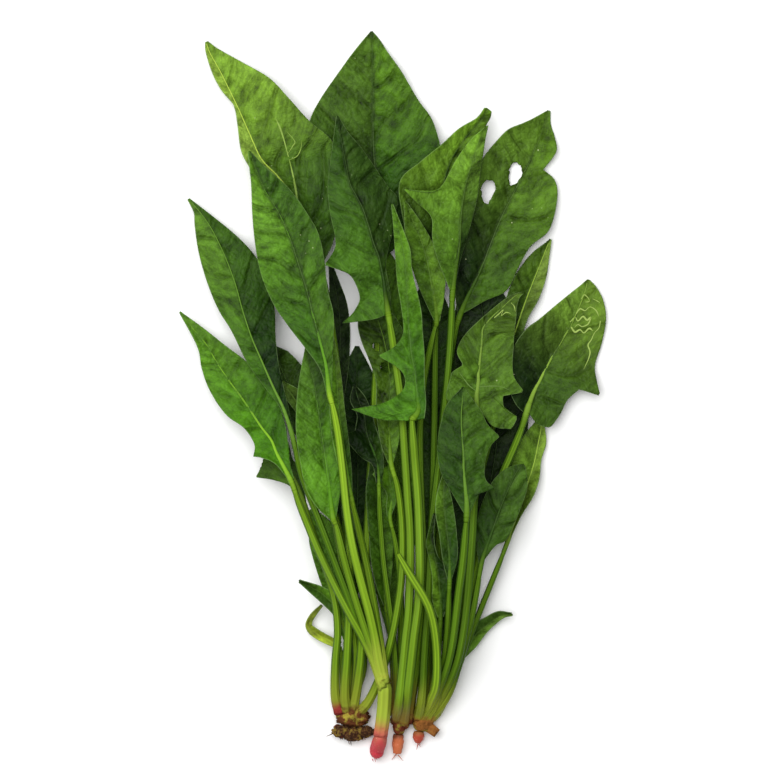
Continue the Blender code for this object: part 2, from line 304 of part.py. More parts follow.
# The leaves in the order in which they are laid, the lowest first
LEAVES = [
    leaf("leaf_under_centre", "a", UNDER_CENTRE,
         [(-21.5, -158.0), (-19.0, -147.5), (-19.0, -127.5), (-20.5, -103.5)],
         (1.8, 1.3), GREEN_DARK, wave=(1.0, 2.0, 0.3), flat=2.0),
    leaf("leaf_under_right", "d", UNDER_RIGHT,
         [(14.0, -162.5), (18.0, -145.0), (22.5, -123.5)],
         (1.8, 1.3), GREEN_DARK, wave=(1.0, 2.0, 1.3), flat=2.0),
    leaf("leaf_under_far", "d", UNDER_FAR,
         [(15.0, -163.0), (25.0, -145.0), (33.0, -120.0), (37.5, -98.0), (40.0, -78.5)],
         (1.8, 1.3), GREEN_DARK, wave=(1.0, 2.0, 2.3), flat=1.0),
    leaf("leaf_under_top", "c", UNDER_TOP,
         [(3.0, -160.0), (0.5, -144.0), (-1.5, -128.0), (-2.0, -119.5)],
         (1.7, 1.3), GREEN_DARK, wave=(0.8, 2.0, 0.9), flat=2.0),
    leaf("leaf_under_crest", "a", UNDER_CREST,
         [(-21.0, -158.0), (-19.5, -130.0), (-23.0, -85.0), (-26.0, -45.0), (-28.0, -13.0)],
         (1.7, 1.2), GREEN_DARK, wave=(0.8, 2.0, 0.0), flat=0.5),
    leaf("leaf_under_left", "a", UNDER_LEFT,
         [(-22.5, -158.5), (-21.5, -142.5), (-22.5, -130.0), (-23.5, -123.0)],
         (1.8, 1.2), GREEN_MID, wave=(0.8, 2.0, 0.6)),
    leaf("leaf_withered", "a", WITHERED,
         [(-24.0, -158.5), (-25.5, -145.0), (-26.0, -132.5), (-26.9, -125.5)],
         (1.8, 1.5), GREEN_YELLOW, fold=(0.5, 0.3), wave=(0.6, 2.0, 0.0), tip=5.0),
    leaf("leaf_low_left", "a", LOW_LEFT,
         [(-23.0, -158.5), (-22.0, -142.5), (-22.5, -125.0), (-25.2, -114.0)],
         (1.8, 1.2), GREEN_DARK, fold=(0.5, 0.8), wave=(0.5, 1.0, 0.0), tip=4.0),
    leaf("leaf_low_right", "d", LOW_RIGHT,
         [(15.0, -163.0), (23.0, -157.5), (29.0, -142.5), (34.2, -130.5)],
         (2.0, 1.4), GREEN_MID, fold=(0.7, 0.6), wave=(0.5, 1.0, 0.5), tip=4.0),
    leaf("leaf_left_under", "a", LEFT_UNDER,
         [(-27.0, -158.5), (-29.5, -147.5), (-29.0, -127.5), (-28.0, -110.0), (-33.0, -90.0),
          (-39.5, -70.0), (-44.3, -54.5)],
         (2.3, 1.4), GREEN_DARK, fold=(-0.1, 0.1), wave=(1.0, 2.0, 0.4)),
    leaf("leaf_left_dark", "a", LEFT_DARK,
         [(-22.0, -158.5), (-18.5, -147.5), (-15.0, -136.5), (-16.0, -117.5), (-22.0, -87.5),
          (-29.5, -57.5), (-36.6, -34.0)],
         (1.6, 1.2), GREEN_DARK, fold=(0.1, 0.1), wave=(1.0, 2.0, 1.4)),
    leaf("leaf_left_scrap", "a", LEFT_SCRAP,
         [(-22.0, -157.5), (-19.5, -142.5), (-19.5, -122.5), (-24.5, -92.5), (-32.0, -52.5),
          (-39.7, -23.6)],
         (1.8, 1.2), GREEN_YELLOW, fold=(0.1, 0.2), wave=(0.6, 1.0, 0.0)),
    leaf("leaf_top_centre", "a", TOP_CENTRE,
         [(-21.0, -158.5), (-18.0, -142.5), (-16.0, -122.5), (-14.0, -82.5), (-11.0, -27.5),
          (-8.0, 27.5), (-6.5, 68.0)],
         (2.4, 1.9), GREEN_MID, fold=(0.14, 0.14), wave=(2.2, 2.5, 0.6), arch=3.0, tip=3.0),
    leaf("leaf_right_behind", "d", RIGHT_BEHIND,
         [(14.0, -163.0), (23.0, -147.5), (30.5, -122.5), (37.0, -82.5), (40.5, -52.5),
          (48.0, -22.5), (53.8, 7.0)],
         (1.9, 1.3), GREEN_MID, fold=(0.2, 0.35), wave=(0.9, 2.0, 0.0), tip=2.0),
    leaf("leaf_right_holed", "d", RIGHT_HOLED,
         [(13.0, -162.5), (16.0, -142.5), (20.0, -112.5), (22.0, -82.5), (23.0, -52.5),
          (23.5, -27.5), (25.5, -2.5), (29.0, 25.0), (32.8, 40.0)],
         (2.4, 1.8), GREEN_MID, fold=(0.30, 0.18), wave=(1.6, 2.5, 1.0), arch=2.0, tip=4.0,
         holes=((47.0, 102.0, 3.3, 5.9, -0.22), (60.6, 110.6, 3.2, 6.0, -0.20))),
    leaf("leaf_top_left", "a", TOP_LEFT,
         [(-23.5, -158.5), (-24.5, -147.5), (-23.0, -122.5), (-22.0, -82.5), (-24.5, -32.5),
          (-29.5, 22.5), (-36.8, 66.0)],
         (2.3, 1.8), GREEN_BRIGHT, fold=(0.35, 0.10), wave=(1.8, 2.5, 2.0), arch=3.0, tip=3.0),
    leaf("leaf_crest_back", "d", CREST_BACK,
         [(12.5, -162.0), (15.0, -150.0), (17.0, -130.0), (18.0, -100.0), (19.0, -60.0),
          (20.0, -20.0), (20.5, 20.0), (21.0, 48.5)],
         (2.0, 1.6), GREEN_MID, fold=(0.45, 0.10), wave=(1.2, 2.0, 0.0), arch=2.0, tip=7.0),
    leaf("leaf_centre_yellow", "c", CENTRE_YELLOW,
         [(7.0, -163.5), (12.5, -127.5), (14.5, -102.5), (14.5, -72.5), (13.5, -47.5),
          (13.0, -17.5), (15.0, 7.5), (19.5, 30.0), (21.3, 35.5)],
         (2.0, 1.6), GREEN_BRIGHT, fold=(0.2, 0.2), wave=(0.9, 2.0, 0.3), tip=1.0),
    leaf("leaf_crest_front", "d", CREST_FRONT,
         [(12.0, -161.5), (14.0, -147.5), (15.0, -127.5), (17.0, -102.5), (19.0, -62.5),
          (23.0, -27.5), (26.5, 7.5), (28.5, 35.0), (29.0, 51.5)],
         (2.2, 1.7), GREEN_BRIGHT, fold=(0.22, -0.45), wave=(1.0, 2.0, 0.5), arch=3.0, tip=6.0),
    leaf("leaf_right_pale", "d", RIGHT_PALE,
         [(17.0, -164.0), (30.5, -140.0), (36.0, -125.0), (42.0, -110.0), (48.0, -95.0),
          (52.5, -84.0), (56.3, -74.0)],
         (1.7, 1.3), GREEN_BRIGHT, fold=(0.2, 0.3), wave=(0.8, 2.0, 0.2), tip=1.0),
    leaf("leaf_right_mined", "d", RIGHT_MINED,
         [(16.0, -163.0), (23.0, -147.5), (30.5, -127.5), (38.0, -102.5), (43.0, -77.5),
          (50.0, -52.5), (55.5, -36.0), (60.5, -25.0), (66.0, -9.5)],
         (2.2, 1.9), GREEN_MID, fold=(0.42, 0.12), wave=(1.6, 2.0, 0.8), arch=2.0, tip=3.0),
    leaf("leaf_right_dark", "d", RIGHT_DARK,
         [(16.0, -163.5), (28.0, -147.5), (34.0, -127.5), (38.0, -112.5), (41.0, -97.5),
          (43.0, -84.5)],
         (2.1, 1.5), GREEN_DARK, fold=(-0.15, -0.15), wave=(1.0, 2.0, 0.0), arch=2.0),
    leaf("leaf_crumpled", "d", CRUMPLED,
         [(14.0, -162.0), (18.0, -152.5), (22.0, -127.5), (23.0, -111.5)],
         (1.9, 1.4), GREEN_BRIGHT, fold=(0.5, 0.4), wave=(1.0, 3.0, 0.0)),
    leaf("leaf_right_narrow", "d", RIGHT_NARROW,
         [(14.0, -162.5), (21.0, -152.5), (25.5, -127.5), (27.0, -102.5), (27.5, -93.0)],
         (1.9, 1.4), GREEN_MID, fold=(0.4, 0.3), wave=(0.8, 2.0, 0.5)),
    leaf("leaf_centre_low", "c", CENTRE_LOW,
         [(0.0, -160.0), (0.0, -142.5), (-0.5, -127.5), (-3.5, -109.0), (-4.0, -105.5)],
         (2.0, 1.5), GREEN_DARK, fold=(0.2, 0.2), wave=(0.8, 2.0, 0.0)),
    leaf("leaf_centre_young", "c", CENTRE_YOUNG,
         [(2.0, -160.0), (3.0, -130.0), (3.5, -100.0), (1.0, -75.0), (-2.3, -61.6)],
         (1.7, 1.3), GREEN_BRIGHT, fold=(0.3, 0.3), wave=(0.6, 1.0, 0.0)),
    leaf("leaf_centre_curly", "c", CENTRE_CURLY,
         [(1.0, -161.0), (1.0, -140.0), (-1.0, -115.0), (-5.0, -85.0), (-7.0, -60.0),
          (-7.5, -44.5)],
         (1.7, 1.3), GREEN_MID, fold=(0.3, 0.5), wave=(1.2, 3.0, 0.4)),
    leaf("leaf_old_holed", "a", OLD_HOLED,
         [(-18.5, -159.5), (-11.0, -150.0), (-4.5, -132.5), (0.0, -115.0), (3.5, -92.5),
          (4.0, -67.5), (2.0, -47.5), (-1.5, -35.0)],
         (2.2, 1.6), GREEN_YELLOW, fold=(0.15, 0.2), wave=(1.0, 3.0, 0.4), arch=1.0,
         holes=((-8.6, 24.0, 1.9, 2.6, 0.2), (-3.6, 14.2, 3.4, 2.6, 0.5))),
    leaf("leaf_right_barbed", "d", RIGHT_BARBED,
         [(15.0, -163.0), (27.5, -142.5), (33.5, -122.5), (37.0, -92.5), (39.0, -67.5),
          (40.0, -45.0), (41.0, -20.0), (41.0, -7.5)],
         (2.3, 1.9), GREEN_MID, fold=(0.10, 0.10), wave=(1.6, 3.0, 0.2), arch=3.0, tip=4.0),
    leaf("leaf_right_front", "d", RIGHT_FRONT,
         [(13.0, -162.5), (19.0, -152.5), (25.5, -137.5), (29.0, -122.5), (32.0, -97.5),
          (34.0, -82.5), (35.5, -65.0), (36.0, -59.5)],
         (2.1, 1.8), GREEN_MID, fold=(-0.20, -0.10), wave=(1.5, 3.0, 0.9), arch=2.0),
    leaf("leaf_left_lower", "b", LEFT_LOWER,
         [(-5.0, -146.0), (-11.5, -128.5), (-18.5, -115.0), (-24.5, -104.0), (-34.5, -84.0),
          (-42.0, -66.5), (-47.0, -54.0), (-50.6, -43.0)],
         (2.3, 1.7), GREEN_BRIGHT, fold=(0.10, 0.15), wave=(1.5, 2.5, 0.4), arch=2.0, tip=3.0),
    leaf("leaf_left_upper", "b", LEFT_UPPER,
         [(-5.0, -145.0), (-10.5, -130.0), (-16.0, -117.5), (-22.0, -102.5), (-29.5, -82.5),
          (-38.0, -60.0), (-43.0, -47.5), (-46.5, -37.5), (-50.0, -21.0)],
         (2.2, 1.5), GREEN_MID, fold=(-0.22, -0.12), wave=(1.2, 2.5, 1.1), arch=3.0, tip=2.0),
    leaf("leaf_left_long", "b", LEFT_LONG,
         [(-5.0, -144.0), (-9.5, -130.0), (-14.0, -117.5), (-20.0, -98.5), (-25.0, -80.0),
          (-28.5, -65.0), (-30.0, -62.0)],
         (2.1, 1.9), GREEN_BRIGHT, fold=(0.12, 0.25), wave=(0.8, 2.0, 0.0), arch=1.5),
    leaf("leaf_left_narrow", "b", LEFT_NARROW,
         [(-5.0, -143.0), (-6.5, -127.5), (-9.0, -110.0), (-13.0, -87.5), (-17.5, -67.5),
          (-21.6, -50.5)],
         (2.3, 1.7), GREEN_BRIGHT, fold=(0.5, 0.1), wave=(0.6, 2.0, 0.0)),
    leaf("leaf_left_front", "b", LEFT_FRONT,
         [(-5.0, -143.0), (-8.0, -130.0), (-10.5, -115.0), (-15.0, -97.5), (-20.5, -75.0),
          (-24.0, -52.5), (-26.5, -27.5), (-29.5, -9.0), (-31.8, -0.5)],
         (2.6, 1.8), GREEN_MID, fold=(0.12, 0.15), wave=(1.4, 2.5, 0.0), arch=3.0, tip=3.0),
    leaf("leaf_centre_lobed", "c", CENTRE_LOBED,
         [(1.0, -162.5), (3.0, -147.5), (5.5, -122.5), (7.5, -102.5), (8.0, -72.5),
          (6.5, -47.5), (4.5, -17.5), (3.0, 0.0), (-0.5, 25.0), (-3.0, 41.5)],
         (2.3, 2.0), GREEN_MID, fold=(0.05, -0.40), wave=(1.2, 3.0, 0.5), arch=2.0, tip=2.0),
    leaf("leaf_centre_folded", "c", CENTRE_FOLDED,
         [(4.5, -164.5), (7.0, -145.0), (9.5, -122.5), (12.5, -97.5), (12.5, -72.5),
          (11.5, -47.5), (9.0, -17.5), (9.2, -11.5)],
         (2.4, 2.2), GREEN_BRIGHT, fold=(-0.12, 0.45), wave=(0.8, 3.0, 0.0), arch=1.0, tip=2.0),
]

BROKEN_STALK = [
    (14.0, -162.0), (18.0, -152.5), (21.0, -142.5), (20.8, -122.5), (17.2, -105.0),
    (8.0, -89.0), (2.0, -78.5),
]
TAN_STUB = [(15.0, -164.0), (21.5, -169.0)]


def spline(points, count, sharp=0.9):
    """Catmull-Rom curve through the points, broken where it turns by over sharp radians."""
    p = np.asarray(points, dtype=float)
    step = np.diff(p, axis=0)
    inner = 0.5 * (step[1:] + step[:-1])
    before = np.vstack([step[:1], inner, step[-1:]])
    after = before.copy()
    length = np.linalg.norm(step, axis=1) + 1e-9
    cosine = (step[1:] * step[:-1]).sum(1) / (length[1:] * length[:-1])
    for k in np.nonzero(cosine < math.cos(sharp))[0] + 1:
        before[k] = step[k - 1]
        after[k] = step[k]
    t = np.linspace(0.0, len(p) - 1.0, count)
    i = np.minimum(t.astype(int), len(p) - 2)
    f = (t - i)[:, None]
    h0 = 2 * f**3 - 3 * f**2 + 1
    h1 = f**3 - 2 * f**2 + f
    h2 = -2 * f**3 + 3 * f**2
    h3 = f**3 - f**2
    return h0 * p[i] + h1 * after[i] + h2 * p[i + 1] + h3 * before[i + 1]


def outline_rows(outline):
    """Left edge, rib and right edge of a blade, each as rows of x, y."""
    if isinstance(outline, list):
        table = np.asarray(outline, dtype=float)
        return table[:, 0:2], table[:, 2:4], table[:, 4:6]
    spine = spline(outline[0], 8)
    half = spline([(h, 0.0) for h in outline[1]], 8)[:, 0]
    along = np.gradient(spine, axis=0)
    along /= np.linalg.norm(along, axis=1)[:, None]
    side = np.column_stack([-along[:, 1], along[:, 0]]) * half[:, None]
    return spine + side, spine, spine - side


def blade_plan(outline):
    """Plan position of every grid point of a blade: rows by five columns."""
    left, rib, right = outline_rows(outline)
    share = np.array([1.0, 0.5, 0.0, 0.5, 1.0])
    grid = np.empty((len(rib), 5, 2))
    for j in range(5):
        edge = left if j < 2 else right
        grid[:, j] = rib + (edge - rib) * share[j]
    return grid


def blade_relief(item, grid):
    """Free height of the grid points: folded halves, waved edges, arch and raised tip."""
    rows = len(grid)
    u = np.linspace(0.0, 1.0, rows)
    relief = np.empty((rows, 5))
    amount, count, phase = item["wave"]
    for j, v in enumerate((-1.0, -0.5, 0.0, 0.5, 1.0)):
        reach = np.linalg.norm(grid[:, j] - grid[:, 2], axis=1)
        fold = item["fold"][0] if v < 0 else item["fold"][1]
        swing = np.sin(2 * math.pi * count * u + phase + (1.9 if v > 0 else 0.0))
        relief[:, j] = fold * reach + amount * abs(v) * swing * np.minimum(reach / 8.0, 1.0)
    relief += (item["arch"] * np.sin(math.pi * u) + item["tip"] * u**3)[:, None]
    return relief - relief.min()


def grid_triangles(rows, columns):
    """Triangles of a grid, the diagonals mirrored about the rib."""
    faces = []
    for i in range(rows - 1):
        for j in range(columns - 1):
            a = i * columns + j
            b = a + 1
            c = a + columns
            d = c + 1
            if j < columns // 2:
                faces += [(a, b, d), (a, d, c)]
            else:
                faces += [(a, b, c), (b, d, c)]
    return np.array(faces)


class Ground:
    """Height fields of what already lies there, one for blades and one for each plant."""

    def __init__(self):
        self.nx = int((FIELD_X[1] - FIELD_X[0]) / CELL)
        self.ny = int((FIELD_Y[1] - FIELD_Y[0]) / CELL)
        self.layers = {key: np.zeros((self.nx, self.ny)) for key in "abcd"}
        self.layers["blades"] = np.zeros((self.nx, self.ny))

    def cells(self, xy):
        """Cell indices of plan positions."""
        i = np.clip(((xy[..., 0] - FIELD_X[0]) / CELL).astype(int), 0, self.nx - 1)
        j = np.clip(((xy[..., 1] - FIELD_Y[0]) / CELL).astype(int), 0, self.ny - 1)
        return i, j

    def add(self, layer, xy, top):
        """Raise one field to the tops given."""
        i, j = self.cells(xy)
        np.maximum.at(self.layers[layer], (i, j), top)

    def obstacle(self, own=None):
        """Greatest height round each cell; a plant's own stalks count less near its crown."""
        total = self.layers["blades"].copy()
        for key in "abcd":
            field = self.layers[key]
            if key == own:
                x = FIELD_X[0] + CELL * (np.arange(self.nx) + 0.5)
                y = FIELD_Y[0] + CELL * (np.arange(self.ny) + 0.5)
                far = np.hypot(x[:, None] - CROWNS[key][0], y[None, :] - CROWNS[key][1])
                near = MERGE_NEAR[key]
                part = np.clip((MERGE_FAR[key] - far) / (MERGE_FAR[key] - near), 0.0, 1.0)
                field = np.where(far < near, 0.0, field - MERGE_DEPTH * part)
            total = np.maximum(total, field)
        wide = total.copy()
        for dx in (-1, 0, 1):
            for dy in (-1, 0, 1):
                wide = np.maximum(wide, np.roll(np.roll(total, dx, 0), dy, 1))
        return wide


def triangle_samples(xy, faces):
    """Points spread over flat triangles: face index, corner weights."""
    owner = []
    weights = []
    for k, face in enumerate(faces):
        corner = xy[face]
        longest = max(np.linalg.norm(corner[m] - corner[m - 1]) for m in range(3))
        n = max(2, int(math.ceil(longest / 0.9)))
        a, b = np.meshgrid(np.arange(n + 1), np.arange(n + 1), indexing="ij")
        keep = a + b <= n
        wa = a[keep] / n
        wb = b[keep] / n
        owner.append(np.full(len(wa), k))
        weights.append(np.column_stack([wa, wb, 1.0 - wa - wb]))
    return np.concatenate(owner), np.vstack(weights)


def thickness(grid, z):
    """Vertical thickness that keeps the blade's own thickness on a slope."""
    along_u = np.gradient(np.dstack([grid, z]), axis=0)
    along_v = np.gradient(np.dstack([grid, z]), axis=1)
    normal = np.cross(along_u, along_v)
    upright = np.abs(normal[..., 2]) / (np.linalg.norm(normal, axis=2) + 1e-9)
    return BLADE_THICK / np.maximum(upright, 0.5)


def lay_blade(grid, relief, flat, ground):
    """Heights of a blade's under side after it has sagged on to what lies there."""
    rows, columns = relief.shape
    faces = grid_triangles(rows, columns)
    plan = grid.reshape(-1, 2)
    owner, weight = triangle_samples(plan, faces)
    corner = faces[owner]
    place = (plan[corner] * weight[..., None]).sum(1)
    i, j = ground.cells(place)
    floor = ground.obstacle()[i, j]
    floor = np.where(floor > 0.0, floor + BLADE_GAP, 0.0)
    share = weight / (weight**2).sum(1)[:, None]
    lift = np.full((rows, columns), floor.max() + 1.0)
    for step in range(260):
        sag = 0.30 if step < 200 else 0.06
        for _ in range(2):
            near = np.zeros_like(lift)
            count = np.zeros_like(lift)
            near[1:] += lift[:-1]
            count[1:] += 1
            near[:-1] += lift[1:]
            count[:-1] += 1
            near[:, 1:] += lift[:, :-1]
            count[:, 1:] += 1
            near[:, :-1] += lift[:, 1:]
            count[:, :-1] += 1
            lift = lift + 0.45 * (near / count - lift)
        lift = lift - sag
        z = (lift + relief).ravel()
        push = np.zeros(len(z))
        short = floor - (z[corner] * weight).sum(1)
        bad = short > 0.0
        for m in range(3):
            np.maximum.at(push, corner[bad, m], short[bad] * share[bad, m])
        lift = lift + push.reshape(rows, columns)
    z = np.maximum((lift + relief).ravel() - flat, 0.0)
    for _ in range(40):
        push = np.zeros(len(z))
        short = floor - (z[corner] * weight).sum(1)
        bad = short > 1e-4
        if not bad.any():
            break
        for m in range(3):
            np.maximum.at(push, corner[bad, m], short[bad] * share[bad, m] + 1e-4)
        z = z + push
    return z.reshape(rows, columns), faces, corner, weight, place


def lay_stalk(path, radii, start, ground, own):
    """Centre line of a stalk after it has sagged on to what lies there."""
    count = max(5, int(np.linalg.norm(np.diff(path, axis=0), axis=1).sum() / 16.0) + 2)
    plan = spline(path, count)
    radius = np.linspace(radii[0], radii[1], count)
    fine = 12 * (count - 1) + 1
    t = np.linspace(0.0, count - 1.0, fine)
    i = np.minimum(t.astype(int), count - 2)
    f = t - i
    centre = plan[i] * (1 - f)[:, None] + plan[i + 1] * f[:, None]
    wide = radius[i] * (1 - f) + radius[i + 1] * f
    along = plan[i + 1] - plan[i]
    along /= np.linalg.norm(along, axis=1)[:, None]
    side = np.column_stack([-along[:, 1], along[:, 0]])
    field = ground.obstacle(own)
    floor = np.zeros(fine)
    for share in (-1.0, -0.5, 0.0, 0.5, 1.0):
        a, b = ground.cells(centre + side * (wide * share)[:, None])
        floor = np.maximum(floor, field[a, b])
    depth = wide * math.sin(math.pi / 3)
    low = np.where(floor > 0.0, floor + BLADE_GAP, 0.0) + depth
    weight = np.column_stack([1 - f, f])
    index = np.column_stack([i, i + 1])
    share = weight / (weight**2).sum(1)[:, None]
    z = np.full(count, low.max() + 1.0)
    if start is not None:
        z[0] = start
    for step in range(300):
        inner = z.copy()
        inner[1:-1] = 0.5 * (z[:-2] + z[2:])
        inner[-1] = z[-2] + 0.5 * (z[-2] - z[-3])
        z = z + 0.5 * (inner - z) - (0.25 if step < 240 else 0.03)
        short = low - (z[index] * weight).sum(1)
        push = np.zeros(count)
        bad = short > 0.0
        for m in range(2):
            np.maximum.at(push, index[bad, m], short[bad] * share[bad, m])
        z = z + push
        if start is not None:
            z[0] = start
    tops = (z[index] * weight).sum(1)
    for share_out in np.linspace(-1.0, 1.0, 9):
        rise = depth * math.sqrt(max(1.0 - share_out**2, 0.0)) + 0.15 * wide
        ground.add(own, centre + side * (wide * share_out)[:, None], tops + rise)
    return np.column_stack([plan, z]), radius


def material(name, colour, rough=0.5):
    """Plain Principled material."""
    made = bpy.data.materials.new(name)
    made.use_nodes = True
    shader = made.node_tree.nodes["Principled BSDF"]
    shader.inputs["Base Color"].default_value = (*colour, 1.0)
    shader.inputs["Roughness"].default_value = rough
    made.diffuse_color = (*colour, 1.0)
    return made


def add_object(name, points, faces, colour, rough=0.5):
    """Object from points in millimetres, with its faces turned outwards."""
    mesh = bpy.data.meshes.new(name)
    shift = np.array([SHIFT_X, SHIFT_Y, 0.0])
    spots = (np.asarray(points, dtype=float) + shift) * 0.001
    mesh.from_pydata([tuple(p) for p in spots], [], faces)
    work = bmesh.new()
    work.from_mesh(mesh)
    bmesh.ops.recalc_face_normals(work, faces=work.faces)
    work.to_mesh(mesh)
    work.free()
    mesh.materials.append(material(name, colour, rough))
    made = bpy.data.objects.new(name, mesh)
    bpy.context.scene.collection.objects.link(made)
    return made


def blade_object(item, grid, z, faces):
    """Closed blade: the grid below, the same grid above, and a rim between them."""
    rows, columns = z.shape
    top = z + thickness(grid, z)
    lower = np.dstack([grid, z]).reshape(-1, 3)
    upper = np.dstack([grid, top]).reshape(-1, 3)
    n = len(lower)
    rim = [i * columns for i in range(rows)]
    rim += [(rows - 1) * columns + j for j in range(1, columns)]
    rim += [i * columns + columns - 1 for i in range(rows - 2, -1, -1)]
    rim += [j for j in range(columns - 2, 0, -1)]
    solid = [tuple(int(k) for k in face) for face in faces]
    solid += [tuple(int(k) + n for k in face[::-1]) for face in faces]
    for k, a in enumerate(rim):
        b = rim[(k + 1) % len(rim)]
        solid += [(a, b, b + n), (a, b + n, a + n)]
    made = add_object(item["name"], np.vstack([lower, upper]), solid, item["colour"])
    if item["holes"]:
        cut_holes(made, item["holes"])
    return made, top


def cut_holes(target, holes):
    """Ragged holes right through a blade: x, y, half widths and turn of each."""
    group = bpy.data.collections.new("hole_cutters")
    bpy.context.scene.collection.children.link(group)
    for k, (x, y, half_x, half_y, turn) in enumerate(holes):
        ring = []
        for m in range(9):
            angle = 2 * math.pi * m / 9
            grow = 1.0 + 0.12 * math.sin(2.7 * m + k)
            px = half_x * grow * math.cos(angle)
            py = half_y * grow * math.sin(angle)
            ring.append((x + px * math.cos(turn) - py * math.sin(turn),
                         y + px * math.sin(turn) + py * math.cos(turn)))
        points = [(px, py, -5.0) for px, py in ring] + [(px, py, 90.0) for px, py in ring]
        faces = [tuple(range(8, -1, -1)), tuple(range(9, 18))]
        faces += [(m, (m + 1) % 9, (m + 1) % 9 + 9, m + 9) for m in range(9)]
        cutter = add_object("hole_cutter_%d" % k, points, faces, ROOT_BROWN)
        cutter.hide_render = True
        cutter.display_type = "WIRE"
        bpy.context.scene.collection.objects.unlink(cutter)
        group.objects.link(cutter)
    cut = target.modifiers.new("holes", "BOOLEAN")
    cut.operation = "DIFFERENCE"
    cut.operand_type = "COLLECTION"
    cut.collection = group
    cut.solver = "MANIFOLD"
    apply_modifiers(target)
    for cutter in list(group.objects):
        bpy.data.objects.remove(cutter, do_unlink=True)
    bpy.data.collections.remove(group)


def apply_modifiers(target):
    """Replace the mesh of an object by what its modifiers make of it."""
    graph = bpy.context.evaluated_depsgraph_get()
    made = bpy.data.meshes.new_from_object(target.evaluated_get(graph))
    target.modifiers.clear()
    target.data = made


def tube(centre, radius, sides=STALK_SIDES):
    """Points and faces of a closed tube with a flat side underneath."""
    count = len(centre)
    along = np.gradient(centre, axis=0)
    along /= np.linalg.norm(along, axis=1)[:, None]
    side = np.column_stack([-along[:, 1], along[:, 0], np.zeros(count)])
    side /= np.linalg.norm(side, axis=1)[:, None]
    up = np.cross(along, side)
    up *= np.sign(up[:, 2])[:, None]
    points = []
    for k in range(count):
        for m in range(sides):
            angle = 2 * math.pi * m / sides
            points.append(centre[k] + radius[k] * (math.cos(angle) * side[k]
                                                   + math.sin(angle) * up[k]))
    faces = []
    for k in range(count - 1):
        for m in range(sides):
            a = k * sides + m
            b = k * sides + (m + 1) % sides
            faces.append((a, b, b + sides, a + sides))
    faces.append(tuple(range(sides - 1, -1, -1)))
    faces.append(tuple(range((count - 1) * sides, count * sides)))
    return points, faces


def ellipsoid(centre, half, rings=5, sides=10):
    """Points and faces of a closed ellipsoid."""
    points = [(centre[0], centre[1] + half[1], centre[2])]
    for k in range(1, rings + 1):
        polar = math.pi * k / (rings + 1)
        for m in range(sides):
            angle = 2 * math.pi * m / sides
            points.append((centre[0] + half[0] * math.sin(polar) * math.cos(angle),
                           centre[1] + half[1] * math.cos(polar),
                           centre[2] + half[2] * math.sin(polar) * math.sin(angle)))
    points.append((centre[0], centre[1] - half[1], centre[2]))
    faces = [(0, 1 + m, 1 + (m + 1) % sides) for m in range(sides)]
    for k in range(rings - 1):
        for m in range(sides):
            a = 1 + k * sides + m
            b = 1 + k * sides + (m + 1) % sides
            faces.append((a, a + sides, b + sides, b))
    last = 1 + (rings - 1) * sides
    end = len(points) - 1
    faces += [(last + m, end, last + (m + 1) % sides) for m in range(sides)]
    return points, faces


def fuse(name, pieces, colour, rough=0.45):
    """One solid from overlapping closed pieces."""
    group = bpy.data.collections.new("fuse_" + name)
    bpy.context.scene.collection.children.link(group)
    base = add_object(name, pieces[0][0], pieces[0][1], colour, rough)
    for k, (points, faces) in enumerate(pieces[1:]):
        part = add_object("%s_piece_%d" % (name, k), points, faces, colour, rough)
        bpy.context.scene.collection.objects.unlink(part)
        group.objects.link(part)
    join = base.modifiers.new("join", "BOOLEAN")
    join.operation = "UNION"
    join.operand_type = "COLLECTION"
    join.collection = group
    join.solver = "EXACT"
    apply_modifiers(base)
    for part in list(group.objects):
        bpy.data.objects.remove(part, do_unlink=True)
    bpy.data.collections.remove(group)
    return base


def root_stub(name, points, radii, colour):
    """Tapered root, slightly uneven, from near the crown to its broken end."""
    centre = np.asarray(points, dtype=float)
    spots, faces = tube(centre, np.asarray(radii, dtype=float), 8)
    return add_object(name, spots, faces, colour, 0.6)


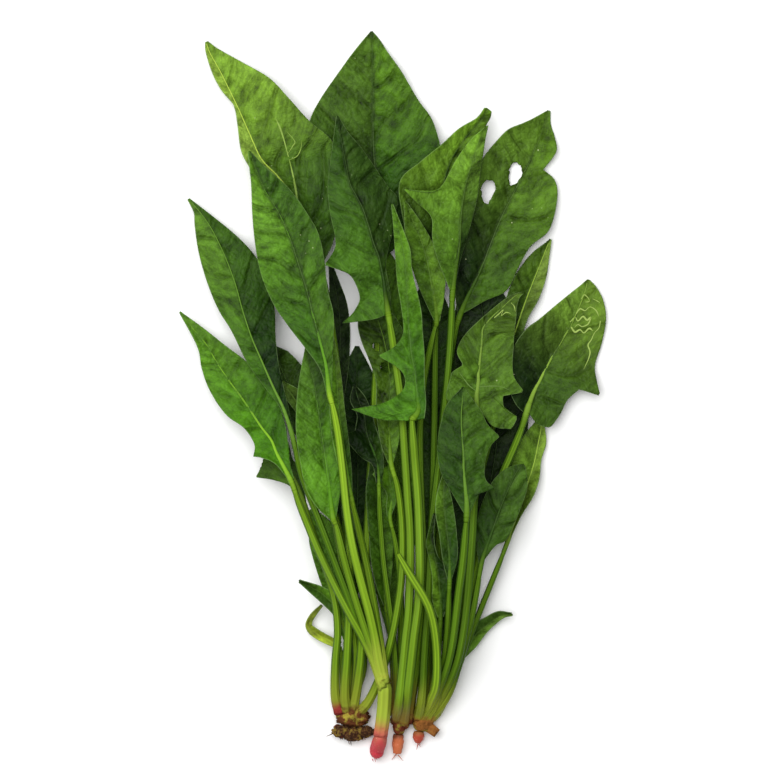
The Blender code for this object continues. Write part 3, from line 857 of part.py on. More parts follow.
def build():
    """Lay every leaf in turn, then make the stalks, crowns and roots."""
    ground = Ground()
    pieces = {key: [] for key in "abcd"}
    crown_height = {}
    for key in "acd":
        x, y, half = CROWNS[key]
        crown_height[key] = CROWN_HALF_HEIGHT
        body = ellipsoid((x, y, CROWN_HALF_HEIGHT), (half, 5.0, CROWN_HALF_HEIGHT))
        pieces[key].append(body)
        spread = np.array([(x + half * a, y + 5.0 * b) for a in np.linspace(-1, 1, 15)
                           for b in np.linspace(-1, 1, 15) if a * a + b * b <= 1.0])
        ground.add(key, spread, np.full(len(spread), 2 * CROWN_HALF_HEIGHT))
    dirt = np.array([(x, y) for x in np.arange(-31.0, -8.0, 0.7)
                     for y in np.arange(-172.5, -164.0, 0.7)])
    ground.add("blades", dirt, np.full(len(dirt), 6.5))

    neck_laid = False
    for item in LEAVES:
        plant = item["plant"]
        if plant == "b" and not neck_laid:
            neck, _ = lay_stalk(NECK, (NECK_RADIUS, NECK_RADIUS), None, ground, "b")
            pieces["b"].append(tube(neck, np.full(len(neck), NECK_RADIUS), 8))
            crown_height["b"] = float(np.interp(-145.0, neck[:, 1], neck[:, 2]))
            neck_laid = True
        line, radius = lay_stalk(item["stalk"], item["radii"], crown_height[plant], ground, plant)
        pieces[plant].append(tube(line, radius))
        grid = blade_plan(item["outline"])
        relief = blade_relief(item, grid)
        z, faces, corner, weight, place = lay_blade(grid, relief, item["flat"], ground)
        made, top = blade_object(item, grid, z, faces)
        ground.add("blades", place, (top.ravel()[corner] * weight).sum(1))

    line, radius = lay_stalk(BROKEN_STALK, (2.2, 2.1), crown_height["d"], ground, "d")
    pieces["d"].append(tube(line, radius))
    stub = np.array([(x, y, 4.0) for x, y in TAN_STUB])
    pieces["d"].append(tube(stub, np.array([3.0, 2.4])))
    for key in "abcd":
        fuse("stalks_" + key, pieces[key], STALK_GREEN)

    onward = neck[0] - neck[1]
    onward /= np.linalg.norm(onward)
    root_stub("root_b",
              [neck[0] + ROOT_GAP * onward, neck[0] + 3.0 * onward,
               (-8.3, -176.4, 4.9), (-8.9, -179.2, 4.2), (-9.3, -180.9, 3.8)],
              (3.2, 3.6, 3.7, 3.2, 1.9), ROOT_RED)
    root_stub("root_c",
              [(2.3, -170.0 - ROOT_GAP, 4.0), (2.1, -172.5, 3.7), (1.8, -176.0, 3.3),
               (1.6, -179.0, 3.0)],
              (2.5, 2.9, 2.6, 2.0), ROOT_ORANGE)
    root_stub("root_d",
              [(12.4, -168.5 - ROOT_GAP, 3.6), (12.2, -170.2, 3.4), (12.0, -172.2, 3.1),
               (11.9, -173.8, 3.0)],
              (2.4, 2.9, 2.4, 1.2), ROOT_RED)
    lumps = [ellipsoid((-26.2, -168.0, 3.6), (4.6, 3.0, 3.4), 4, 8),
             ellipsoid((-20.8, -169.4, 3.5), (5.2, 3.3, 3.4), 4, 8),
             ellipsoid((-14.4, -168.2, 3.2), (4.8, 3.0, 3.1), 4, 8)]
    fuse("root_a", lumps, ROOT_BROWN, 0.9)


build()
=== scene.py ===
"""Bunch of spinach lying flat, seen from above: finished leaves, stalks and roots.

The outlines and stalk lines are those of the solid model.  Their heights are
read from its nodes, so every finished piece lies where its solid does.  All
lengths in the tables and functions are millimetres, until a piece is finished.
"""

import json
import math

import bpy
import numpy as np
from bpy.props import FloatProperty, FloatVectorProperty, PointerProperty
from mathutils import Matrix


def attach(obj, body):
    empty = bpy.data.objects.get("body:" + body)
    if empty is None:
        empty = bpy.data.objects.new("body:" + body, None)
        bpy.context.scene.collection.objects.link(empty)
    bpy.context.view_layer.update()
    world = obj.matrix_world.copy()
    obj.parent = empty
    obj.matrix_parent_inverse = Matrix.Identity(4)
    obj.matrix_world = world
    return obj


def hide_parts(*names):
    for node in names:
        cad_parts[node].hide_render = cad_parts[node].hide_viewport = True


bl_info = {
    "name": "Spinach bunch",
    "version": (1, 0, 0),
    "blender": (4, 5, 0),
    "location": "View3D > Sidebar > Spinach",
    "description": "Builds the finished leaves, stalks, roots and stage of a bunch of spinach",
    "category": "Object",
}

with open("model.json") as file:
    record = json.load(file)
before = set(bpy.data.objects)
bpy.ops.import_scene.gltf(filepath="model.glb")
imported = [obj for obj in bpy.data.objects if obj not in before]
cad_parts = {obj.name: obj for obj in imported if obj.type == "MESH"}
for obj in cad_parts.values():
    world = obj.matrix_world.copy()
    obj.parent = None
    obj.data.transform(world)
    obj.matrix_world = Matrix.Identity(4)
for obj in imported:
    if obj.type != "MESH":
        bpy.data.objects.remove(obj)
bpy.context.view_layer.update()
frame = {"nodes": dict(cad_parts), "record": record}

# The solid model is moved by this much from the drawing that the tables hold
SHIFT = np.array([0.6, -0.25])
# Steps of the finished surfaces, and corners round a stalk, a lump and a root
STEP_ALONG = 1.3
STEP_ACROSS = 1.7
STALK_STEP = 3.0
STALK_SIDES = 14
ROUND_SIDES = 20
ROOT_ROWS = 18
# A spline with this turn, in radians, never breaks at a corner
NO_CORNER = 9.0
# Distance between the rings of the solid stalks, and how near a corner has to lie to count
RING_STEP = 16.0
RING_REACH = 0.05
# Share by which the blades deep in the bunch are wider than their solids, so that their colour,
# with the shade of the bunch painted in, fills the gaps between the blades above
UNDER_SPREAD = 1.22
WIDE_SPREAD = 1.58
WIDE_UNDER = ("leaf_under_right", "leaf_under_far")
# Gap left when a piece is laid on others, and how a lift falls off from point to point
BLADE_GAP = 0.08
STALK_GAP = 0.05
LIFT_FALL = 0.97
BLADE_ROUNDS = 14
STALK_ROUNDS = 12
# Lowest height that a blade's underside, and a lump or root, reaches
BLADE_FLOOR = 0.02
FLOOR_GAP = 0.03
# Height of the stalks' ends in the crowns
CROWN_HEIGHT = 4.6
# Width of the pale line painted along a blade's edge as a highlight
RIM_WIDTH = 0.9
# Threads that show the side veins and tracks: height over the blade, half thickness, corners
STRAND_GAP = 0.03
STRAND_HALF = 0.13
STRAND_SIDES = 6
# Plane grid of the heap of leaves
HEAP_CELL = 0.5
HEAP_LOW = np.array([-120.0, -195.0])
HEAP_SIZE = (480, 780)

# Crown centres of three of the plants: x, y, half width across
CROWNS = {
    "a": (-20.5, -160.8, 9.0),
    "c": (2.6, -165.0, 3.4),
    "d": (14.0, -163.5, 5.0),
}
# Short stem of the fourth plant, and its radius
NECK_RADIUS = 3.2
NECK = [(-6.8, -170.0), (-5.4, -160.0), (-4.6, -149.0), (-5.0, -139.5)]

# Blade outlines, base to tip: x, y of the left edge, of the rib, of the right edge
TOP_CENTRE = [
    (-8.0, 68.5, -6.5, 68.5, -5.0, 68.5), (-21.0, 77.5, -7.0, 78.5, 7.0, 79.5),
    (-34.0, 93.5, -7.5, 91.5, 18.0, 95.0), (-41.0, 111.5, -8.5, 105.5, 24.0, 111.5),
    (-43.5, 125.5, -10.0, 118.5, 23.5, 122.5), (-42.0, 137.0, -10.5, 131.5, 19.0, 137.5),
    (-37.0, 147.5, -10.5, 144.5, 12.0, 147.5), (-28.5, 160.0, -10.5, 156.5, 4.0, 161.0),
    (-22.0, 169.0, -10.5, 167.5, -3.0, 171.0), (-16.0, 176.5, -11.0, 176.5, -7.0, 177.5),
    (-11.6, 181.5, -11.0, 182.0, -10.4, 181.5),
]
TOP_LEFT = [
    (-39.0, 66.5, -37.0, 66.5, -35.0, 66.5), (-52.0, 80.0, -43.0, 83.5, -30.0, 77.5),
    (-63.0, 95.0, -49.5, 97.5, -28.0, 95.0), (-71.0, 111.5, -58.0, 109.0, -28.5, 112.5),
    (-76.0, 121.5, -66.0, 117.5, -30.5, 126.0), (-78.0, 135.0, -71.5, 129.0, -42.5, 137.0),
    (-80.0, 144.5, -77.0, 141.5, -52.0, 147.5), (-86.0, 152.0, -82.0, 152.0, -62.0, 158.0),
    (-90.5, 160.5, -87.0, 162.0, -74.5, 165.5), (-94.0, 171.0, -92.0, 171.0, -87.0, 172.5),
    (-94.5, 176.0, -94.0, 176.6, -93.0, 176.5),
]
LEFT_UPPER = [
    (-51.0, -20.5, -50.0, -21.0, -49.0, -21.0), (-56.5, -6.5, -54.5, -7.5, -52.0, -7.5),
    (-64.0, 3.5, -60.0, 4.0, -55.0, 5.0), (-73.0, 16.0, -66.0, 17.5, -57.5, 16.5),
    (-81.0, 32.0, -71.0, 29.0, -59.0, 30.0), (-87.5, 42.5, -75.5, 42.5, -59.5, 42.5),
    (-93.0, 55.5, -79.0, 55.0, -63.0, 57.5), (-97.5, 71.0, -84.0, 68.5, -69.0, 69.0),
    (-99.5, 84.5, -90.0, 81.0, -78.0, 79.0), (-100.0, 91.0, -95.5, 89.5, -89.5, 88.5),
    (-103.2, 97.5, -102.7, 98.0, -102.0, 98.2),
]
LEFT_FRONT = [
    (-33.3, -0.5, -32.0, -1.0, -30.7, -0.5), (-36.5, 12.5, -33.5, 13.5, -30.5, 14.5),
    (-44.5, 24.0, -36.5, 26.0, -30.0, 27.5), (-53.0, 35.0, -40.0, 39.0, -30.0, 40.0),
    (-60.0, 45.5, -43.5, 52.5, -33.0, 52.5), (-66.0, 60.0, -48.0, 66.5, -34.5, 66.5),
    (-69.0, 75.0, -52.0, 78.5, -37.5, 80.0), (-70.5, 90.0, -57.5, 91.0, -43.0, 90.0),
    (-71.0, 103.5, -63.5, 100.5, -52.0, 102.5), (-72.0, 114.5, -68.5, 111.5, -64.0, 113.5),
    (-72.7, 121.0, -72.0, 121.6, -71.3, 121.2),
]
LEFT_LOWER = [
    (-52.0, -42.5, -50.5, -43.5, -49.6, -41.5), (-59.0, -34.0, -55.0, -35.0, -51.5, -34.0),
    (-66.0, -31.0, -58.5, -28.5, -52.0, -27.5), (-70.0, -30.5, -61.0, -22.5, -53.0, -21.5),
    (-69.5, -24.5, -66.0, -16.0, -54.0, -15.0), (-74.5, -16.5, -71.0, -8.5, -56.5, -6.5),
    (-84.0, -9.5, -76.5, -0.5, -60.0, 1.5), (-92.0, 2.5, -82.5, 7.5, -66.0, 8.5),
    (-96.0, 13.5, -88.5, 16.5, -74.0, 17.0), (-97.5, 22.5, -93.5, 25.0, -84.5, 25.0),
    (-102.0, 32.0, -99.5, 32.0, -94.5, 33.0), (-107.2, 41.0, -107.0, 41.7, -106.2, 41.5),
]
CENTRE_LOBED = [
    (-5.0, 39.5, -3.0, 40.5, -1.5, 41.0), (-11.0, 37.5, -3.5, 44.5, -1.5, 46.0),
    (-26.0, 35.5, -4.5, 51.0, -2.0, 52.0), (-20.0, 41.5, -5.0, 56.0, -3.0, 57.5),
    (-17.0, 48.5, -6.0, 61.5, -4.0, 63.5), (-21.0, 58.5, -7.5, 68.5, -3.0, 71.5),
    (-27.0, 62.0, -10.5, 76.5, -0.5, 81.5), (-34.5, 64.5, -12.5, 83.5, 1.0, 90.5),
    (-29.5, 72.5, -15.5, 92.5, 1.5, 98.5), (-29.5, 79.5, -19.0, 99.5, -3.0, 104.0),
    (-32.0, 91.5, -22.0, 105.5, -8.0, 111.5), (-33.0, 103.5, -24.5, 117.5, -16.0, 123.0),
    (-31.5, 117.5, -26.5, 128.5, -22.5, 130.5), (-28.7, 138.5, -28.0, 139.2, -27.3, 138.5),
]
CREST_BACK = [
    (19.8, 49.5, 21.0, 49.0, 22.2, 49.5), (9.0, 70.0, 20.0, 66.5, 28.0, 68.5),
    (4.0, 90.0, 21.0, 83.5, 32.5, 86.5), (3.0, 106.5, 23.5, 100.0, 36.0, 102.5),
    (13.0, 116.0, 27.5, 114.5, 40.0, 117.5), (23.5, 124.5, 33.0, 124.5, 43.0, 127.5),
    (32.0, 132.5, 39.0, 132.5, 46.0, 134.5), (41.0, 138.0, 44.0, 138.0, 48.0, 138.0),
    (45.0, 143.0, 46.5, 143.0, 48.5, 141.0),
]
CREST_FRONT = [
    (27.7, 52.5, 29.0, 52.0, 30.3, 52.8), (22.0, 66.5, 31.0, 64.5, 33.0, 66.5),
    (19.0, 77.5, 32.5, 74.5, 36.0, 76.5), (18.5, 88.5, 33.0, 82.5, 38.5, 85.5),
    (11.0, 96.0, 33.5, 90.5, 40.5, 93.5), (4.5, 102.5, 34.5, 98.0, 42.0, 101.0),
    (18.0, 101.0, 36.0, 105.5, 43.0, 109.0), (24.0, 104.5, 38.0, 112.5, 44.0, 116.5),
    (30.5, 116.5, 40.5, 120.5, 45.0, 123.5), (38.0, 127.0, 43.0, 128.0, 46.0, 129.5),
    (45.0, 133.0, 46.0, 134.0, 47.0, 134.2),
]
CENTRE_FOLDED = [
    (5.0, -12.5, 9.0, -12.5, 15.0, -11.5), (-7.0, -12.0, 12.0, -8.0, 15.7, -5.5),
    (-21.5, -7.0, 12.0, -3.5, 15.7, -0.5), (-7.0, -4.5, 11.5, 1.0, 15.2, 4.5),
    (3.0, 1.0, 11.0, 5.5, 15.0, 9.5), (5.5, 7.0, 10.5, 10.5, 15.0, 15.5),
    (2.5, 13.0, 9.5, 16.0, 15.0, 21.5), (-8.0, 19.5, 8.5, 21.5, 14.5, 27.5),
    (0.0, 24.0, 8.0, 27.0, 14.0, 34.0), (4.5, 31.0, 7.0, 34.5, 13.5, 41.0),
    (3.5, 43.5, 6.5, 46.0, 12.0, 49.0), (1.5, 56.0, 6.0, 58.5, 9.0, 61.5),
    (0.5, 70.0, 4.5, 71.5, 8.0, 72.5), (-0.5, 84.5, 2.0, 84.5, 4.0, 83.5),
    (-1.5, 94.5, -1.0, 95.2, -0.5, 94.5),
]
CENTRE_YELLOW = [
    (20.2, 36.5, 21.5, 36.0, 22.8, 37.0), (15.0, 47.5, 20.5, 46.0, 25.0, 48.5),
    (10.5, 58.5, 18.5, 56.0, 25.5, 59.5), (7.5, 68.5, 16.5, 66.5, 23.0, 69.5),
    (5.5, 78.5, 13.5, 77.0, 18.0, 78.5), (5.0, 87.5, 9.0, 87.5, 12.5, 87.5),
    (4.8, 96.0, 5.5, 96.7, 6.2, 96.0),
]
RIGHT_HOLED = [
    (31.5, 41.5, 33.0, 40.5, 35.0, 41.0), (30.5, 52.5, 36.0, 47.5, 45.5, 47.0),
    (31.0, 65.0, 40.0, 55.5, 56.0, 52.0), (33.5, 77.5, 44.5, 65.5, 62.0, 63.5),
    (36.0, 90.0, 49.0, 77.5, 68.0, 74.0), (38.5, 102.5, 54.0, 89.5, 77.5, 82.5),
    (41.5, 112.0, 59.0, 99.5, 81.5, 97.5), (45.0, 119.0, 63.0, 107.0, 80.5, 107.0),
    (50.5, 126.0, 67.0, 115.0, 74.5, 112.5), (57.0, 132.5, 70.5, 123.0, 81.0, 121.5),
    (64.0, 135.5, 73.5, 130.5, 80.5, 128.5), (70.0, 138.5, 75.5, 136.5, 78.5, 135.0),
    (76.7, 142.0, 77.5, 142.3, 78.2, 141.7),
]
RIGHT_BEHIND = [
    (52.5, 8.5, 54.0, 7.5, 55.5, 8.0), (51.0, 22.5, 57.0, 21.5, 62.0, 22.5),
    (52.5, 36.5, 61.5, 34.5, 66.5, 37.5), (56.0, 48.5, 66.0, 47.5, 72.0, 47.5),
    (60.5, 59.5, 70.5, 59.0, 76.0, 58.5), (68.0, 70.0, 74.5, 69.0, 77.5, 68.5),
    (77.3, 77.3, 78.0, 78.0, 78.6, 77.3),
]
RIGHT_MINED = [
    (64.5, -8.5, 66.0, -9.0, 67.5, -9.5), (61.0, -5.0, 67.0, -5.5, 71.5, -14.5),
    (58.0, 1.0, 68.5, -1.5, 78.0, -16.5), (57.0, 8.5, 70.5, 3.0, 83.0, -9.5),
    (57.5, 15.5, 73.0, 7.5, 86.5, -2.5), (59.0, 22.0, 76.0, 13.5, 92.5, 3.0),
    (62.0, 28.0, 79.0, 19.0, 103.0, -0.5), (66.5, 33.5, 82.0, 24.0, 101.0, 8.5),
    (72.0, 37.5, 85.0, 29.0, 100.5, 15.5), (78.0, 42.5, 88.0, 34.0, 104.0, 26.5),
    (84.0, 47.5, 91.0, 40.5, 106.0, 38.5), (89.5, 52.0, 94.0, 47.5, 104.5, 47.5),
    (93.5, 55.0, 96.0, 53.5, 101.0, 54.0), (96.3, 57.3, 97.0, 57.8, 97.8, 57.3),
]
RIGHT_BARBED = [
    (39.0, -6.5, 41.0, -7.0, 43.0, -7.0), (30.5, -6.5, 41.0, -4.0, 49.0, -15.5),
    (26.0, -1.5, 41.0, -0.5, 58.5, -17.0), (26.5, 3.5, 41.5, 3.0, 61.5, -11.0),
    (28.0, 8.5, 42.0, 7.0, 54.5, -6.5), (29.0, 11.5, 42.0, 10.5, 54.0, -0.5),
    (34.5, 15.0, 42.5, 14.5, 65.0, 1.5), (31.5, 20.5, 43.0, 19.0, 60.0, 8.5),
    (32.0, 24.5, 43.5, 23.5, 59.0, 15.5), (34.5, 29.0, 44.0, 28.5, 59.5, 23.5),
    (38.5, 33.5, 44.5, 33.5, 60.0, 31.5), (45.0, 39.5, 49.0, 39.0, 61.0, 38.5),
    (52.0, 45.5, 54.5, 44.0, 61.5, 44.5), (58.5, 50.0, 60.0, 49.0, 63.0, 49.0),
    (63.3, 51.2, 64.0, 51.2, 64.6, 50.6),
]
RIGHT_FRONT = [
    (34.5, -58.5, 36.0, -59.0, 37.5, -58.5), (31.0, -52.5, 36.0, -53.0, 42.0, -48.5),
    (27.5, -46.5, 35.5, -48.0, 50.5, -46.5), (24.0, -40.5, 35.0, -42.5, 45.5, -42.0),
    (22.0, -33.5, 34.5, -36.5, 45.0, -34.5), (21.5, -26.5, 34.5, -30.0, 47.5, -26.0),
    (22.0, -19.5, 34.0, -23.0, 52.5, -20.5), (23.5, -12.5, 33.5, -15.5, 46.5, -14.5),
    (25.5, -6.0, 33.5, -8.5, 43.5, -8.0), (29.0, -1.0, 34.0, -2.5, 39.0, -2.0),
    (33.7, 3.5, 34.5, 4.2, 35.3, 3.5),
]
RIGHT_DARK = [
    (42.0, -83.5, 43.0, -84.0, 44.5, -82.5), (41.0, -75.0, 45.5, -77.0, 50.5, -75.0),
    (41.0, -66.5, 48.0, -70.0, 56.0, -72.0), (42.5, -57.5, 51.0, -61.5, 60.5, -62.5),
    (46.0, -48.5, 54.0, -53.5, 64.0, -54.0), (50.5, -41.0, 57.5, -45.5, 66.5, -45.5),
    (57.0, -36.0, 61.0, -38.5, 66.0, -39.5), (63.3, -34.3, 64.5, -34.3, 65.5, -35.5),
]
RIGHT_PALE = [
    (55.0, -73.0, 56.5, -73.5, 58.0, -72.0), (55.0, -62.5, 60.0, -64.5, 63.5, -60.0),
    (56.0, -52.5, 63.5, -53.5, 69.5, -50.5), (57.0, -42.5, 67.0, -43.5, 72.5, -41.5),
    (59.5, -31.5, 70.0, -34.0, 73.5, -32.5), (64.0, -21.5, 72.0, -24.5, 76.0, -24.5),
    (69.5, -14.5, 73.5, -16.5, 75.5, -17.5), (72.8, -10.5, 73.5, -10.0, 74.2, -10.5),
]
LEFT_LONG = [
    (-31.5, -61.5, -30.0, -62.5, -28.7, -60.5), (-38.5, -55.0, -31.0, -55.0, -27.5, -53.5),
    (-43.5, -46.5, -32.0, -46.0, -26.0, -43.5), (-46.5, -33.5, -33.5, -34.5, -26.5, -31.5),
    (-48.5, -20.0, -35.5, -22.5, -28.5, -19.5), (-48.5, -6.5, -37.5, -8.5, -31.0, -6.5),
    (-47.5, 5.0, -39.5, 5.0, -34.0, 5.5), (-46.0, 14.5, -42.0, 14.5, -38.0, 15.0),
    (-44.2, 23.0, -43.5, 23.8, -42.6, 23.0),
]
LEFT_NARROW = [
    (-22.3, -50.5, -21.5, -51.0, -20.5, -50.5), (-27.0, -37.5, -23.5, -38.0, -21.0, -36.5),
    (-30.5, -22.5, -25.5, -23.0, -22.5, -21.5), (-32.0, -7.5, -27.5, -7.5, -24.5, -6.0),
    (-32.5, 7.5, -28.5, 7.5, -26.0, 8.5), (-32.0, 20.0, -29.5, 20.0, -28.0, 20.5),
    (-31.6, 31.0, -31.0, 31.6, -30.4, 31.0),
]
OLD_HOLED = [
    (-3.0, -34.0, -1.5, -35.5, -0.3, -33.5), (-6.0, -26.5, -2.0, -27.5, 2.0, -25.0),
    (-8.0, -16.5, -2.5, -17.5, 3.5, -15.0), (-9.0, -5.0, -2.5, -6.0, 6.0, -3.5),
    (-9.0, 6.5, -2.0, 5.5, 7.5, 8.5), (-12.5, 17.5, -3.0, 17.0, 7.5, 19.5),
    (-16.5, 27.5, -5.0, 27.5, 5.5, 29.5), (-18.0, 36.5, -8.0, 37.5, 1.0, 38.5),
    (-15.0, 45.0, -10.5, 46.0, -6.0, 46.0), (-12.6, 51.5, -12.0, 52.2, -11.4, 51.5),
]
CENTRE_CURLY = [
    (-9.0, -43.5, -7.5, -44.5, -6.0, -43.5), (-11.0, -34.5, -8.0, -35.5, -5.0, -33.5),
    (-17.0, -30.5, -10.0, -28.5, -6.0, -26.5), (-26.0, -19.5, -12.5, -22.5, -7.5, -20.5),
    (-19.5, -18.0, -14.0, -16.5, -9.5, -14.5), (-18.5, -10.0, -15.0, -9.5, -11.0, -8.5),
    (-22.0, -2.5, -18.0, -1.5, -14.0, -1.5), (-20.5, 4.0, -19.5, 4.8, -18.5, 4.2),
]
CENTRE_LOW = [
    (-5.3, -104.5, -4.0, -105.5, -2.8, -104.0), (-9.0, -94.5, -5.0, -95.0, -1.5, -92.5),
    (-11.5, -82.5, -5.5, -83.0, -0.5, -80.5), (-12.5, -70.0, -6.0, -70.5, -0.5, -68.0),
    (-13.5, -57.5, -6.5, -58.0, -1.5, -55.5), (-14.0, -46.5, -8.0, -47.0, -3.5, -44.5),
    (-12.5, -38.0, -10.0, -38.0, -7.0, -37.0), (-12.1, -32.5, -11.5, -31.8, -10.9, -32.5),
]
CENTRE_YOUNG = [
    (-3.6, -60.5, -2.5, -61.5, -1.4, -60.0), (-4.0, -55.0, -1.5, -55.0, 1.0, -53.5),
    (-4.0, -48.5, -1.0, -48.5, 1.5, -46.5), (-11.0, -39.0, -2.0, -42.5, 0.8, -40.5),
    (-3.8, -35.6, -3.0, -34.8, -2.2, -35.6),
]
CRUMPLED = [
    (21.7, -110.5, 23.0, -111.0, 24.5, -110.0), (19.0, -102.5, 23.0, -103.5, 27.5, -100.5),
    (19.0, -95.0, 22.5, -95.5, 27.0, -94.5), (18.5, -87.5, 21.5, -87.5, 29.0, -86.5),
    (16.5, -77.5, 19.5, -77.5, 22.0, -80.5), (16.0, -72.5, 18.0, -70.0, 19.8, -70.0),
    (19.4, -59.5, 20.0, -58.7, 20.6, -59.5),
]
RIGHT_NARROW = [
    (26.4, -91.5, 27.5, -92.5, 28.6, -91.5), (24.0, -81.5, 27.5, -82.0, 31.5, -80.5),
    (22.5, -70.0, 26.5, -70.5, 31.0, -68.5), (20.5, -57.5, 25.0, -58.0, 29.5, -56.0),
    (21.5, -47.5, 24.5, -47.5, 27.5, -46.5), (24.4, -39.0, 25.0, -38.3, 25.6, -39.0),
]
LOW_RIGHT = [
    (33.5, -128.8, 34.5, -130.0, 35.5, -131.2), (35.0, -119.5, 38.5, -123.0, 41.5, -125.0),
    (39.5, -114.5, 43.0, -117.5, 46.0, -119.0), (45.5, -111.0, 48.5, -113.5, 50.5, -114.5),
    (52.0, -108.0, 54.0, -110.0, 55.0, -111.2), (58.4, -108.8, 59.2, -109.5, 58.8, -110.2),
]
LOW_LEFT = [
    (-26.5, -114.7, -25.5, -113.5, -24.5, -112.3), (-30.5, -109.0, -28.5, -106.0, -26.5, -102.5),
    (-35.0, -104.5, -33.0, -101.5, -30.0, -98.5), (-40.0, -100.0, -38.0, -97.5, -36.0, -95.3),
    (-47.2, -93.2, -47.5, -92.4, -46.6, -92.0),
]
LEFT_UNDER = [
    (-45.5, -55.0, -44.5, -54.0, -43.6, -52.5), (-51.0, -46.0, -49.5, -41.5, -47.0, -37.5),
    (-59.5, -42.5, -55.0, -37.5, -50.5, -31.5), (-69.0, -41.0, -60.0, -30.0, -53.0, -22.5),
    (-64.0, -32.0, -65.0, -20.0, -58.0, -11.5), (-74.0, -10.5, -74.0, -6.5, -69.0, -2.5),
    (-79.8, 0.0, -79.2, 0.8, -78.4, 1.2),
]
LEFT_DARK = [
    (-38.0, -32.5, -37.0, -33.5, -36.0, -32.0), (-51.0, -17.5, -43.0, -18.5, -38.0, -15.0),
    (-58.0, -2.5, -48.5, -4.5, -40.0, -1.5), (-63.0, 10.0, -54.0, 8.0, -44.0, 11.5),
    (-64.5, 19.5, -58.0, 17.5, -49.0, 18.0), (-62.5, 25.5, -59.0, 24.5, -53.0, 22.0),
]
LEFT_SCRAP = [
    (-41.0, -22.5, -40.0, -23.2, -39.0, -22.5), (-49.0, -8.5, -45.5, -8.5, -41.0, -7.5),
    (-55.0, 0.0, -50.5, -0.5, -45.0, 1.0), (-57.5, 6.5, -56.0, 7.2, -53.5, 6.0),
]

# Narrow blades: points of the rib from base to tip, and the half width at each
WITHERED = (
    [(-27.0, -125.0), (-34.5, -121.5), (-40.5, -118.0), (-43.0, -114.5), (-40.5, -110.0),
     (-36.0, -105.0)],
    [2.0, 2.3, 2.2, 1.5, 1.3, 0.6],
)
UNDER_LEFT = (
    [(-23.5, -122.5), (-28.0, -102.5), (-31.5, -85.0), (-35.5, -69.0), (-41.5, -57.0)],
    [1.3, 4.0, 6.5, 6.5, 0.7],
)
UNDER_CENTRE = (
    [(-21.0, -102.5), (-19.0, -72.5), (-18.0, -37.5), (-18.5, -2.5), (-18.5, 24.5)],
    [1.5, 8.0, 11.0, 11.5, 0.8],
)
UNDER_RIGHT = (
    [(23.0, -122.5), (25.0, -86.0), (21.5, -46.0), (18.5, -6.0), (18.5, 32.0), (17.0, 62.0)],
    [1.5, 9.0, 9.0, 8.5, 8.5, 0.8],
)
UNDER_FAR = (
    [(40.0, -78.0), (47.0, -48.0), (52.0, -18.0), (47.5, 12.0), (44.5, 40.0), (41.0, 66.0)],
    [1.5, 7.0, 9.5, 10.0, 10.5, 0.8],
)
UNDER_TOP = (
    [(-2.0, -119.0), (-3.0, -86.0), (1.5, -48.0), (3.5, -10.0), (1.5, 26.0), (-3.0, 52.5),
     (-7.0, 77.5)],
    [1.3, 6.0, 7.0, 7.0, 7.5, 9.0, 0.8],
)
UNDER_CREST = (
    [(-28.0, -12.5), (-27.0, 17.5), (-27.5, 42.5), (-32.0, 66.5)],
    [1.3, 4.0, 4.0, 0.7],
)


def leaf(name, plant, outline, stalk, radii, holes=()):
    """One leaf of the drawing: outline of its blade, points and end radii of its stalk."""
    return {"name": name, "plant": plant, "outline": outline, "stalk": stalk, "radii": radii,
            "holes": holes}


